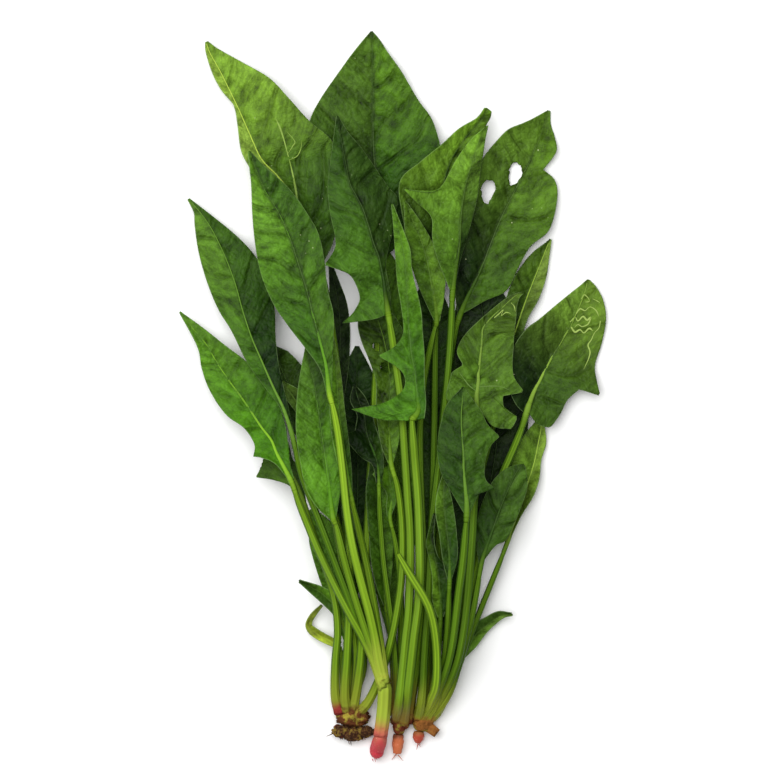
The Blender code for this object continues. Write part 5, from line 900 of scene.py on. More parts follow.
def blade_relief(surface, style, seed):
    """Height added to the top: ridges between the side veins, which leave the rib slanting
    towards the tip, blisters of two sizes, a valley along the rib, and a waved edge."""
    a = surface["along"]
    d = surface["across"]
    share = surface["share"]
    size = np.minimum(1.0, surface["reach_mm"] / 9.0)
    branch = (a - 0.80 * np.abs(d) - 0.004 * d**2) / style["spacing"]
    branch = branch + np.where(d < 0, 0.5, 0.0) + 0.22 * ripple(a, d, 34.0, seed)
    ridge = -np.cos(2 * math.pi * branch) * np.clip(np.abs(d) / 6.0, 0.0, 1.0)
    blister = ripple(a, d, 8.0, seed + 1) * 0.75 + ripple(a, d, 4.6, seed + 2) * 0.35
    fade = np.clip(1.25 - share, 0.0, 1.0)
    bump = (0.42 * ridge + 0.55 * blister) * style["pucker"] * fade
    curl = style["wave"]
    edge = 0.45 * curl * ripple(a, np.sign(d) * 30.0, 14.0 / math.sqrt(curl), seed + 3) * share**4
    valley = -0.55 * np.exp(-(d / 2.2) ** 2)
    bulk = ripple(a, d, 28.0, seed + 4) * 0.5 * share
    return (bump + edge + valley + bulk) * size, bump, branch


def shell(top, bottom, quads):
    """Closed shell: the quads on top, the same below, and a wall on every free edge."""
    n = len(top)
    edges = np.concatenate([quads[:, [k, (k + 1) % 4]] for k in range(4)])
    key = edges[:, 0] * n + edges[:, 1]
    back = edges[:, 1] * n + edges[:, 0]
    free = edges[~np.isin(key, back)]
    wall = np.column_stack([free[:, 0], free[:, 0] + n, free[:, 1] + n, free[:, 1]])
    faces = np.vstack([quads, quads[:, ::-1] + n, wall])
    return np.vstack([top, bottom]), faces


def grid_quads(rows, columns, closed=False):
    """Quads of a grid, counted row by row; a closed grid joins its last column to its first."""
    i = np.arange(rows - 1)[:, None]
    j = np.arange(columns if closed else columns - 1)[None, :]
    k = (j + 1) % columns
    return np.stack([i * columns + j, i * columns + k, (i + 1) * columns + k,
                     (i + 1) * columns + j], axis=-1).reshape(-1, 4)


def tube_grid(centre, half_wide, half_tall, sides=STALK_SIDES, channel=0.0):
    """Tube round a line: at each point an ellipse of the given half width and height, its
    top drawn in by the channel.  Ends are closed by a small last ring and a cap."""
    along = np.gradient(centre, axis=0)
    along /= np.linalg.norm(along, axis=1)[:, None] + 1e-9
    side = np.column_stack([along[:, 1], -along[:, 0], np.zeros(len(centre))])
    side /= np.linalg.norm(side, axis=1)[:, None] + 1e-9
    up = np.cross(side, along)
    up *= np.where(up[:, 2:3] < 0, -1.0, 1.0)
    angle = 2 * math.pi * np.arange(sides) / sides
    dip = 1.0 - channel * np.exp(-((np.abs(angle - math.pi / 2)) / 0.42) ** 2)
    ring = (np.cos(angle) * half_wide[:, None])[..., None] * side[:, None]
    ring = ring + ((np.sin(angle) * dip) * half_tall[:, None])[..., None] * up[:, None]
    return centre[:, None] + ring, angle


def capped(grid):
    """Closed tube over a grid of rings: its points and the blocks of its faces, the sides
    and a fan to the middle of either end."""
    rows, sides = grid.shape[:2]
    points = np.concatenate([grid.reshape(-1, 3), grid[0].mean(0)[None], grid[-1].mean(0)[None]])
    a = np.arange(sides)
    b = (a + 1) % sides
    last = (rows - 1) * sides
    start = np.column_stack([b, a, np.full(sides, rows * sides)])
    end = np.column_stack([last + a, last + b, np.full(sides, rows * sides + 1)])
    return points, [grid_quads(rows, sides, closed=True), start, end]


def turned_out(points, blocks):
    """Faces of a closed part, all turned round where its volume is negative: the volume is a
    sixth of the sum of the triple products of the triangles that its faces are cut into."""
    volume = 0.0
    for block in blocks:
        for k in range(1, block.shape[1] - 1):
            cross = np.cross(points[block[:, k]], points[block[:, k + 1]])
            volume += float((points[block[:, 0]] * cross).sum()) / 6.0
    return [block[:, ::-1] for block in blocks] if volume < 0.0 else blocks


class Build:
    """Points, faces and point values of one piece, gathered from its parts."""

    def __init__(self):
        self.points = []
        self.faces = []
        self.values = []
        self.count = 0

    def add(self, points, blocks, **values):
        """Adds one closed part, its faces in blocks; each value is one number per point."""
        self.points.append(points)
        self.faces.append([block + self.count for block in blocks])
        self.values.append(values)
        self.count += len(points)

    def add_tube(self, centre, half_wide, half_tall, channel=0.0, sides=STALK_SIDES, **values):
        """Adds a closed tube whose values are one number per point of its line."""
        grid, angle = tube_grid(centre, half_wide, half_tall, sides, channel)
        full = {key: np.concatenate([np.repeat(v, sides), v[:1], v[-1:]])
                for key, v in values.items()}
        full["around"] = np.concatenate([np.tile(np.cos(angle), len(centre)), [0.0, 0.0]])
        full["turn"] = np.concatenate([np.tile(angle, len(centre)), [0.0, 0.0]])
        self.add(*capped(grid), **full)

    def finish(self, name, look_material, replaced=(), slot=None):
        """Makes the object: millimetres to metres, all faces turned outwards, values as
        attributes of the points."""
        faces = []
        points = np.vstack(self.points)
        for part in self.faces:
            for block in turned_out(points, part):
                faces.extend(map(tuple, block.tolist()))
        mesh = bpy.data.meshes.new(name)
        mesh.from_pydata((points * 0.001).tolist(), [], faces)
        keys = sorted({key for values in self.values for key in values})
        sizes = [len(points) for points in self.points]
        for key in keys:
            column = np.concatenate([np.asarray(values.get(key, np.zeros(size)), dtype=np.float32)
                                     for values, size in zip(self.values, sizes)])
            mesh.attributes.new(key, "FLOAT", "POINT").data.foreach_set("value", column)
        mesh.polygons.foreach_set("use_smooth", np.ones(len(mesh.polygons), dtype=bool))
        mesh.materials.append(look_material)
        mesh.validate()
        made = bpy.data.objects.new(name, mesh)
        bpy.context.scene.collection.objects.link(made)
        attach(made, "root")
        if replaced:
            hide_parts(*replaced)
        return made


class Val:
    """A number or colour in a node tree; arithmetic on a number adds Math nodes."""

    def __init__(self, shade, socket):
        self.shade = shade
        self.socket = socket

    def math(self, operation, first, second=None):
        """One Math node."""
        inputs = {0: first} if second is None else {0: first, 1: second}
        return self.shade.node("ShaderNodeMath", {"operation": operation}, inputs)

    def __add__(self, other):
        return self.math("ADD", self, other)

    def __radd__(self, other):
        return self.math("ADD", other, self)

    def __sub__(self, other):
        return self.math("SUBTRACT", self, other)

    def __rsub__(self, other):
        return self.math("SUBTRACT", other, self)

    def __mul__(self, other):
        return self.math("MULTIPLY", self, other)

    def __rmul__(self, other):
        return self.math("MULTIPLY", other, self)

    def __abs__(self):
        return self.math("ABSOLUTE", self)


class Shade:
    """The node tree of one material."""

    def __init__(self, name):
        self.material = bpy.data.materials.new(name)
        self.material.use_nodes = True
        self.tree = self.material.node_tree
        self.tree.nodes.clear()

    def node(self, kind, settings=None, inputs=None, out=0):
        """Adds a node, sets it, then fills its sockets with values or links."""
        made = self.tree.nodes.new(kind)
        for key, value in (settings or {}).items():
            setattr(made, key, value)
        for key, value in (inputs or {}).items():
            if isinstance(value, Val):
                self.tree.links.new(value.socket, made.inputs[key])
            else:
                made.inputs[key].default_value = value
        return Val(self, made.outputs[out]) if made.outputs else None

    def place(self):
        """Object coordinates."""
        return self.node("ShaderNodeTexCoord", out=3)

    def value(self, name):
        """A point value of the mesh."""
        return self.node("ShaderNodeAttribute", {"attribute_name": name}, out=2)

    def join(self, x, y, z=0.0):
        """Three numbers as one vector."""
        return self.node("ShaderNodeCombineXYZ", None, {0: x, 1: y, 2: z})

    def noise(self, scale, detail=3.0, where=None, rough=0.55):
        """Noise from 0 to 1."""
        return self.node("ShaderNodeTexNoise", None,
                         {"Vector": where or self.place(), "Scale": scale, "Detail": detail,
                          "Roughness": rough})

    def cells(self, scale, feature, where=None):
        """Distance in a Voronoi pattern."""
        return self.node("ShaderNodeTexVoronoi", {"feature": feature},
                         {"Vector": where or self.place(), "Scale": scale, "Randomness": 1.0})

    def step(self, value, low, high):
        """0 below low, 1 above high, smooth in between."""
        return self.node("ShaderNodeMapRange", {"interpolation_type": "SMOOTHSTEP"},
                         {"Value": value, "From Min": low, "From Max": high})

    def mix(self, first, second, factor):
        """One colour over another."""
        return self.node("ShaderNodeMix", {"data_type": "RGBA", "blend_type": "MIX"},
                         {0: factor, 6: first, 7: second}, out=2)

    def scale(self, colour, factor):
        """A colour made lighter or darker."""
        colour = colour if isinstance(colour, Val) else colour[:3]
        return self.node("ShaderNodeVectorMath", {"operation": "SCALE"}, {0: colour, 3: factor})

    def finish(self, colour, rough, height=None, depth=0.0003, **uniform):
        """The surface: colour, roughness and bump, and the numbers that are the same all over."""
        inputs = {"Base Color": colour, "Roughness": rough}
        inputs.update({key.replace("_", " "): value for key, value in uniform.items()})
        if height is not None:
            inputs["Normal"] = self.node("ShaderNodeBump", None,
                                         {"Strength": 1.0, "Distance": depth, "Height": height})
        surface = self.node("ShaderNodeBsdfPrincipled", None, inputs)
        self.node("ShaderNodeOutputMaterial", None, {"Surface": surface})
        return self.material


def stalk_side_shade(shade):
    """How far a point of a stalk or rib is out to its side, as a share of dark green: painted shade
    on the sides of a round stalk.
    """
    return shade.step(abs(shade.value("around")), 0.3, 1.0) * 0.8


def leaf_material(name, style, seed, plant_tone):
    """Blade: its colour on either side of the rib, with the lit side and the shaded side painted
    in, mottled in two sizes and in folds that run with the side veins, partly its own tone and
    partly painted light on the ridges and painted shade in the hollows, with painted shade in the
    vein valleys and in the groove beside the rib, a darker underside as painted shade, a net of
    fine veins, a few pale specks and a pale line along the edge as a painted highlight.  Its rib
    takes over the stalk's colour, with painted shade at its sides."""
    shade = Shade(name)
    along = shade.value("along")
    across = shade.value("across")
    relief = shade.value("relief")
    map_mm = shade.join(along + seed * 37.0, across)
    toward = shade.step(shade.value("far"), 0.2, 0.92)
    # Colours of the halves, base to tip, with their painted light and shade
    halves = [shade.mix(blade_colour(style[half][0]), blade_colour(style[half][1]), toward)
              for half in ("left", "right")]
    base = shade.mix(halves[0], halves[1], shade.step(across, -1.2, 1.2))
    wide = shade.noise(0.075, 3.0, map_mm)
    small = shade.noise(0.26, 4.0, map_mm, 0.6)
    folded = shade.join(shade.value("branch") * 4.6, across * 0.15, seed * 3.7)
    fold = shade.noise(1.0, 4.0, folded, 0.62)
    # Mottle: partly own tone, partly painted light on the ridges and blisters and painted shade in
    # the hollows between them
    mottle_and_shading = ((wide - 0.5) * MOTTLE_WIDE + (small - 0.5) * MOTTLE_SMALL
              + (fold - 0.5) * FOLD_SHADING + relief * RELIEF_SHADING)
    grain = (shade.noise(1.3, 2.0, map_mm) - 0.5) * GRAIN
    light = BLADE_LIGHT + style["mottle"] * mottle_and_shading + grain
    branch = shade.value("branch") + (small - 0.5) * 0.08
    away = abs(shade.node("ShaderNodeMath", {"operation": "FRACT"}, {0: branch + 100.5}) - 0.5)
    # Painted shade in the valleys of the side veins
    side = shade.step(away * style["spacing"], VEIN_HALF, 0.0)
    side = side * shade.step(abs(across), 0.4, 2.0)
    side = side * shade.step(wide, 0.3, 0.6)
    # Painted shade in the groove along the rib, as strong as the look's groove share
    middle = shade.step(abs(across), 1.9, 0.3) * shade.step(along, 5.0, 20.0)
    net = shade.cells(0.34, "DISTANCE_TO_EDGE", map_mm)
    fine = shade.step(net, 0.10, 0.0)
    light = light * (1.0 - side * VEIN_SHADE) * (1.0 - fine * NET_DARK)
    light = light * (1.0 - middle * (style["groove"] * GROOVE_SHADE))
    colour = shade.scale(base, light)
    # Painted sheen: the ridges pale towards a whitish green, a painted highlight
    colour = shade.mix(colour, RIDGE_SHEEN, (fold - 0.45) * (0.16 * style["mottle"]))
    if style["speck"]:
        dots = shade.cells(0.16, "F1", map_mm)
        patches = shade.step(shade.noise(0.03, 1.0, map_mm), 0.46, 0.6)
        mask = shade.step(dots, 0.07, 0.04) * patches * style["speck"]
        colour = shade.mix(colour, linear(SPECK_TINT), mask)
    # Painted highlight: a pale line along the edge
    edge = shade.step(shade.value("rim"), 0.5, 1.0)
    colour = shade.mix(colour, linear(EDGE_HIGHLIGHT), edge * 0.45)
    # Painted shade: the underside of the blade 15% darker
    colour = shade.mix(colour, shade.scale(colour, 0.85), shade.value("under"))
    stalk = shade.mix(mixed(STALK_DEEP, STALK_LIGHT, style["stalk"] * plant_tone),
                      linear(STALK_SIDE_SHADE), stalk_side_shade(shade))
    onward = shade.step(along, -6.0, 14.0)
    rib = shade.mix(stalk, blade_colour(style["rib"]), onward)
    rib = shade.scale(rib, 0.76 - 0.14 * onward + 0.3 * shade.noise(0.5, 3.0, map_mm))
    colour = shade.mix(colour, rib, shade.value("rib"))
    bump = small * 0.4 + fold * 0.7 + shade.step(net, 0.0, 0.35) * 0.3 - side * 0.8
    rough = 0.42 + 0.16 * small
    return shade.finish(colour, rough, bump, 0.0009, Specular_IOR_Level=BLADE_SHINE)


def stalk_material(name, base_tint, crown_tint, red_tint):
    """Stalk: pale green along its middle, deeper at its sides as painted shade, finely streaked
    lengthwise, with painted shade in its channel, and tinted near the crown."""
    shade = Shade(name)
    tone = shade.value("tone")
    turn = shade.value("turn")
    along = shade.value("along")
    streaks = shade.noise(1.0, 3.0, shade.join(turn * 3.0, along * 0.02, tone * 60.0))
    patch = shade.noise(1.0, 2.0, shade.join(turn * 0.5, along * 0.06, tone * 40.0))
    colour = shade.mix(linear(STALK_DEEP), linear(STALK_LIGHT), tone)
    bands = shade.node("ShaderNodeMath", {"operation": "SINE"}, {0: turn * 7.0 + tone * 40.0})
    colour = shade.scale(colour, (0.36 + 0.92 * streaks + 0.24 * patch) * (0.98 + 0.15 * bands))
    # Painted shade on the stalk's sides
    colour = shade.mix(colour, linear(STALK_SIDE_SHADE), stalk_side_shade(shade))
    # Painted shade in the channel along the stalk's top
    channel = shade.step(abs(turn - 1.62), 0.30, 0.02)
    colour = shade.mix(colour, linear(CHANNEL_SHADE), channel * 0.35)
    near = shade.step(along + (patch - 0.5) * 14.0, 30.0, 6.0)
    colour = shade.mix(colour, linear(base_tint), near * 0.8)
    blotch = shade.noise(330.0, 4.0)
    sheath = shade.step(shade.noise(240.0), 0.5, 0.62)
    crown = shade.mix(linear(crown_tint), linear(CROWN_SHEATH), sheath)
    crown = shade.scale(crown, 0.2 + 1.5 * blotch)
    colour = shade.mix(colour, crown, shade.step(along + (blotch - 0.5) * 9.0, 7.0, 1.5))
    colour = shade.mix(colour, linear(red_tint), shade.value("red") * shade.step(along, 9.0, 3.0))
    crown = shade.step(along, 7.0, 1.5)
    bump = streaks * 0.4 + bands * 0.25 + patch * 0.2 + crown * blotch * 4.0
    return shade.finish(colour, 0.44 + 0.12 * patch + crown * 0.4, bump, 0.0006,
                        Specular_IOR_Level=STALK_SHINE)


def root_material(name, top, end):
    """Root stub: from the crown's colour to its own red, blotched, scarred and dusty."""
    shade = Shade(name)
    along = shade.value("along")
    blotch = shade.noise(260.0, 4.0)
    fine = shade.noise(1200.0, 3.0)
    toward = shade.step(along + (blotch - 0.5) * 0.6, 0.0, 0.45)
    colour = shade.mix(linear(top), linear(end), toward)
    colour = shade.scale(colour, 0.68 + 0.64 * blotch)
    colour = shade.mix(colour, linear(ROOT_DUST), shade.step(fine, 0.62, 0.75) * 0.5)
    colour = shade.mix(colour, linear(DIRT_DARK), shade.step(blotch, 0.40, 0.26) * 0.6)
    return shade.finish(colour, 0.5 + 0.2 * fine, blotch * 0.6 + fine * 0.4, 0.0006,
                        Specular_IOR_Level=ROOT_SHINE)


def dirt_material():
    """Earth that clings to the cut crown: dark crumbs with lighter fibres."""
    shade = Shade("earthy_root")
    crumbs = shade.noise(900.0, 5.0, rough=0.7)
    clods = shade.cells(420.0, "F1")
    colour = shade.mix(linear(DIRT_DARK), linear(DIRT_LIGHT), shade.step(crumbs, 0.42, 0.68))
    reddish = shade.step(shade.noise(180.0), 0.56, 0.66) * 0.55
    colour = shade.mix(colour, linear(DIRT_RED), reddish)
    fibres = shade.step(shade.noise(260.0), 0.52, 0.64) * 0.7
    colour = shade.mix(colour, linear(DIRT_TAN), fibres)
    colour = shade.scale(colour, 0.7 + 0.6 * crumbs)
    return shade.finish(colour, 0.9, crumbs + clods * 0.4, 0.0012,
                        Specular_IOR_Level=EARTH_SHINE)


def strand_material(name, tint):
    """Pale tissue of a vein or a miner's track."""
    shade = Shade(name)
    grain = shade.noise(700.0, 3.0)
    colour = shade.scale(linear(tint), 0.7 + 0.5 * grain)
    return shade.finish(colour, 0.55, grain, 0.0002, Specular_IOR_Level=ROOT_SHINE)


HEAP = Heap()
TOPS = {}
STALKS = {key: Build() for key in "abcd"}


def solid_line(path, radii, spots, start=None):
    """Centre line of a tube of the solid model at its rings, and its length: the heights are
    those of the rings' outer corners."""
    length = np.linalg.norm(np.diff(path, axis=0), axis=1).sum()
    count = max(5, int(length / RING_STEP) + 2)
    plan = spline(path, count) + SHIFT
    side = left_of(plan) * np.linspace(radii[0], radii[1], count)[:, None]
    found = solid_height(spots, np.stack([plan + side, plan - side], axis=1), RING_REACH)
    height = np.where(np.isfinite(found[:, 0]), found[:, 0], found[:, 1])
    if start is not None:
        height[0] = start
    return np.column_stack([plan, fill_gaps(height[:, None])]), length


def lay_stalk(item, spots, start, target=None):
    """Stalk from the crown to its blade: wider at the base, its last part raised to meet the
    blade, and lifted clear of the blades that lie under it."""
    line, length = solid_line(item["stalk"], item["radii"], spots, start)
    line = spline(line, max(8, int(length / STALK_STEP)), NO_CORNER)
    radius = np.linspace(*item["radii"], len(line))
    s = np.concatenate([[0.0], np.cumsum(np.linalg.norm(np.diff(line, axis=0), axis=1))])
    if target is not None and target > line[-1, 2]:
        run = 30.0
        near = np.clip((s - s[-1] + run) / run, 0.0, 1.0)
        line[:, 2] += (target - line[-1, 2]) * near**2 * (3 - 2 * near)
    free = 14.0
    need = np.zeros(len(line))
    for share in (-0.8, -0.4, 0.0, 0.4, 0.8):
        side = left_of(line) * (radius * share)[:, None]
        below = HEAP.height(line[:, 0] + side[:, 0], line[:, 1] + side[:, 1], ("blades",))
        depth = radius * math.sqrt(1.0 - share**2)
        need = np.maximum(need, below + STALK_GAP - (line[:, 2] - depth))
    need[s < free] = 0.0
    need = np.minimum(need, 3.0)
    lift = relax(need[:, None], STALK_ROUNDS)[:, 0]
    line[:, 2] += lift * np.clip(s / free, 0.0, 1.0)
    return line, radius, s


def put_stalk(build, line, radius, s, tone, red=0.0):
    """Adds a stalk to its plant's piece and to the heap."""
    n = len(line)
    taper = 14.0
    flare = 1.0 + 0.35 * np.exp(-s / 9.0)
    flare = flare * (1.0 - 0.45 * np.clip((s - s[-1] + taper) / taper, 0.0, 1.0) ** 1.5)
    build.add_tube(line, radius * flare, radius * flare, 0.2,
                   along=s, tone=np.full(n, tone), red=np.full(n, red))
    fine = dense(np.column_stack([line, radius])[:, None].repeat(2, axis=1), 6)[:, 0]
    for share in np.linspace(-1.0, 1.0, 9):
        side = left_of(fine) * (fine[:, 3] * share)[:, None]
        HEAP.add("stalks", fine[:, 0] + side[:, 0], fine[:, 1] + side[:, 1],
                 fine[:, 2] + fine[:, 3] * math.sqrt(max(1.0 - share**2, 0.0)))


def hole_mask(surface, holes):
    """Draws grid points near a hole's ragged ring on to it, and marks the cells inside: a
    point's level is its distance from the hole's middle over the ring's radius that way."""
    place = surface["place"]
    inside = np.zeros(place.shape[:2], dtype=bool)
    for k, (x, y, half_x, half_y, turn) in enumerate(holes):
        middle = np.array([x, y]) + SHIFT
        gap = place - middle
        a = gap[..., 0] * math.cos(turn) + gap[..., 1] * math.sin(turn)
        b = gap[..., 1] * math.cos(turn) - gap[..., 0] * math.sin(turn)
        angle = np.arctan2(b / half_y, a / half_x)
        ring = 1.0 + 0.10 * np.sin(3 * angle + k) + 0.05 * np.sin(7 * angle + 2 * k)
        level = np.hypot(a / half_x, b / half_y) / ring
        near = np.abs(level - 1.0) * min(half_x, half_y) < 0.75
        grow = np.where(near, 1.0 / np.maximum(level, 0.2), 1.0)
        place[:] = middle + gap * grow[..., None]
        inside |= (level < 1.0) & ~near
    return inside


def make_leaf(item, number, settings):
    """One leaf: its stalk joins its plant's piece, its blade and rib are a piece of their own."""
    style = LOOKS[item["name"]]
    surface = blade_surface(item)
    share = surface["share"]
    surface["reach_mm"] = np.maximum(np.abs(surface["across"]) / np.maximum(share, 0.05), 0.1)
    bumpy = {**style, "pucker": style["pucker"] * settings.pucker}
    relief, bump, branch = blade_relief(surface, bumpy, number * 10)
    z = surface["z"] + relief
    middle = share.argmin(axis=1)[0]
    thick = 1000.0 * settings.blade_thickness
    plant = item["plant"]
    inside = hole_mask(surface, item["holes"])
    place = surface["place"]
    z = z + lift_blade(HEAP, place, z - thick - 0.1)
    line, radius, s = lay_stalk(item, PLANT_POINTS[plant], CROWN_HEIGHTS[plant],
                                z[0, middle] - 0.5 * thick)
    step = line[-1, 2] - (z[0, middle] - 0.5 * thick)
    if step > 0.0:
        z = z + step * np.exp(-np.maximum(surface["along"], 0.0) / 14.0)
    put_stalk(STALKS[plant], line, radius, s, style["stalk"] * PLANT_TONES[plant],
              1.0 if item["name"] == "leaf_left_under" else 0.0)
    fine = dense(np.dstack([place, z]), 3)
    HEAP.add("blades", fine[..., 0], fine[..., 1], fine[..., 2])
    top = np.dstack([place, z])
    normal = np.cross(np.gradient(top, axis=1), np.gradient(top, axis=0))
    normal /= np.linalg.norm(normal, axis=2)[..., None] + 1e-9
    normal *= np.where(normal[..., 2:] < 0, -1.0, 1.0)
    normal[normal[..., 2] < 0.35] = (0.0, 0.0, 1.0)
    taper = thick * np.clip(1.15 - share**6 * 0.6, 0.4, 1.0)
    bottom = top - normal * taper[..., None]
    bottom[..., 2] = np.maximum(bottom[..., 2], BLADE_FLOOR)
    rows, columns = share.shape
    quads = grid_quads(rows, columns)
    hidden = inside.ravel()[quads].any(axis=1)
    quads = quads[~hidden]
    points, faces = shell(top.reshape(-1, 3), bottom.reshape(-1, 3), quads)
    n = rows * columns
    rim = np.clip(1.0 - (1.0 - share) * surface["reach_mm"] / RIM_WIDTH, 0.0, 1.0)
    values = {
        "along": surface["along"], "across": surface["across"],
        "far": np.clip(surface["along"] / surface["length"], 0.0, 1.0), "relief": bump, "rim": rim,
        "branch": branch,
    }
    both = {key: np.tile(v.ravel(), 2) for key, v in values.items()}
    both["under"] = np.repeat([0.0, 1.0], n)
    piece = Build()
    piece.add(points, [faces], **both)
    add_rib(piece, surface, top[:, middle], line, radius[-1], style)
    TOPS[item["name"]] = top
    material = leaf_material(item["name"], style, number, PLANT_TONES[plant])
    return piece.finish(item["name"] + "_fine", material, [item["name"]],
                        SLOTS.get(item["name"]))


def add_rib(piece, surface, top, line, start, style):
    """Rib: the stalk runs on into the blade and tapers to the tip.  Its middle lies below the
    top by its own half width less the part of it that stands out."""
    u = surface["s"] / surface["length"]
    a = surface["s"]
    wide = start * (0.34 * np.exp(-a / 7.0) + 0.54 * np.exp(-a / 40.0)) * (1.0 - u) ** 0.8 + 0.2
    rise = style["rise"][0] + (style["rise"][1] - style["rise"][0]) * np.clip(u * 2.0, 0.0, 1.0)
    tall = np.minimum(wide * 0.8, 0.35 + 0.55 * wide)
    keep = slice(2, len(u) - 2)
    lift = 0.4 * wide * np.exp(-a / 8.0)
    path = np.column_stack([top[:, :2], top[:, 2] - tall * (1.0 - rise) + lift])[keep]
    root = line[[-5, -4, -3, -2, -1]]
    centre = np.vstack([root, path])
    for _ in range(4):
        centre[1:12] = (centre[:11] + 2.0 * centre[1:12] + centre[2:13]) / 4.0
    lead = start * np.array([0.72, 0.84, 0.89, 0.90, 0.90])
    wide = np.concatenate([lead, wide[keep]])
    tall = np.concatenate([lead, tall[keep]])
    s = np.concatenate([[-12.0, -9.0, -6.0, -3.0, 0.0], surface["s"][keep]])
    n = len(centre)
    piece.add_tube(centre, wide, tall, 0.16, 12, along=s, across=np.zeros(n),
                   far=np.clip(s / surface["length"], 0.0, 1.0), rib=np.ones(n))


def strand(piece, name, points, half):
    """Thin flat thread that follows a leaf's top: the height is that of the nearest point of
    the leaf's finished grid, smoothed along the line."""
    path = spline(np.asarray(points, dtype=float) + SHIFT, 12 * (len(points) - 1) + 1, NO_CORNER)
    top = dense(TOPS[name], 3).reshape(-1, 3)
    away = np.hypot(path[:, None, 0] - top[None, :, 0], path[:, None, 1] - top[None, :, 1])
    nearest = np.argpartition(away, 4, axis=1)[:, :4]
    weight = 1.0 / (np.take_along_axis(away, nearest, axis=1) + 0.05)
    height = (top[nearest, 2] * weight).sum(1) / weight.sum(1)
    for _ in range(2):
        height[1:-1] = (height[:-2] + 2 * height[1:-1] + height[2:]) / 4.0
    line = np.column_stack([path, height + STRAND_GAP])
    t = np.linspace(0.0, 1.0, len(path))
    wide = half * (0.75 + 0.25 * np.sin(9 * t + len(points))) * np.minimum(1.0, 6 * (1.02 - t))
    piece.add_tube(line, wide, np.full(len(path), STRAND_HALF), 0.0, STRAND_SIDES)


PLANT_POINTS = {key: node_points("stalks_" + key) for key in "abcd"}
CROWN_HEIGHTS = {"a": CROWN_HEIGHT, "b": None, "c": CROWN_HEIGHT, "d": CROWN_HEIGHT}
SLOTS = {row["node"]: row["material_slot"] for row in frame["record"]["subparts"]}


def neck_line():
    """Centre line of the short stem on which one plant's stalks stand."""
    line = solid_line(NECK, (NECK_RADIUS, NECK_RADIUS), PLANT_POINTS["b"])[0]
    return spline(line, 14, NO_CORNER)


def bumpy_ball(build, centre, half, size, depth, seed, **values):
    """Lump: an ellipsoid on a grid of two angles, pushed out and in by ripples."""
    polar = np.linspace(0.02, math.pi - 0.02, 14)[:, None]
    turn = (2 * math.pi * np.arange(ROUND_SIDES) / ROUND_SIDES)[None, :]
    unit = np.stack([np.sin(polar) * np.cos(turn), np.cos(polar) + 0 * turn,
                     np.sin(polar) * np.sin(turn)], axis=-1)
    rough = ripple(unit[..., 0] * half[0] + 9.0 * unit[..., 2], unit[..., 1] * half[1], size, seed)
    points = np.asarray(centre) + unit * np.asarray(half) * (1.0 + depth * rough)[..., None]
    points = points + np.array([*SHIFT, 0.0])
    points[..., 2] = np.maximum(points[..., 2], FLOOR_GAP)
    points, blocks = capped(points)
    build.add(points, blocks, **{key: np.full(len(points), v) for key, v in values.items()})


def make_crowns():
    """Crowns and the neck join the pieces of their plants."""
    for key in "acd":
        x, y, half = CROWNS[key]
        bumpy_ball(STALKS[key], (x, y, 4.2), (half * 0.95, 4.6, 4.0), 3.0, 0.16, ord(key),
                   tone=0.5, around=0.2)
    line = neck_line()
    s = np.linspace(0.0, 30.0, len(line))
    n = len(line)
    close = np.clip((s[-1] - s) / 7.0, 0.25, 1.0) ** 0.5
    line[:, 2] -= 2.0 * (1.0 - close)
    STALKS["b"].add_tube(line, 3.55 * close, 3.35 * close, 0.10, 22,
                         along=2.6 + 0.55 * s, tone=np.full(n, 0.95), red=np.full(n, 0.9))


def root_stub(name, points, radii, seed):
    """Root stub: a spline tube that swells and narrows, dented by ripples and cut off at its
    end, where three threads hang on."""
    line = spline(points, ROOT_ROWS) + np.array([*SHIFT, 0.0])
    wide = spline(np.asarray(radii)[:, None], ROOT_ROWS)[:, 0]
    grid, angle = tube_grid(line, wide, wide, ROUND_SIDES)
    s = np.linspace(0.0, 1.0, ROOT_ROWS)
    turn, far = np.meshgrid(angle * 2.2, s * 12.0)
    dent = 1.0 + 0.07 * ripple(turn, far, 4.0, seed)
    grid = line[:, None] + (grid - line[:, None]) * dent[..., None]
    grid[..., 2] = np.maximum(grid[..., 2], FLOOR_GAP)
    build = Build()
    build.add(*capped(grid), along=np.concatenate([np.repeat(s, ROUND_SIDES), [0.0, 1.0]]))
    tail = np.random.default_rng(seed)
    for _ in range(3):
        out = line[-1] + tail.uniform(-0.9, 0.9, 3) * wide[-1]
        onward = np.array([tail.uniform(-2.5, 2.5), -tail.uniform(1.0, 3.0), -0.6])
        thread = spline([out, out + onward * 0.5, out + onward], 6)
        thread[:, 2] = np.maximum(thread[:, 2], 0.3)
        build.add_tube(thread, np.linspace(0.3, 0.1, 6), np.linspace(0.3, 0.1, 6), 0.0, 5,
                       along=np.full(6, 0.9))
    return build.finish(name + "_fine", root_material(name, *ROOT_REDS[name]), [name],
                        SLOTS[name])


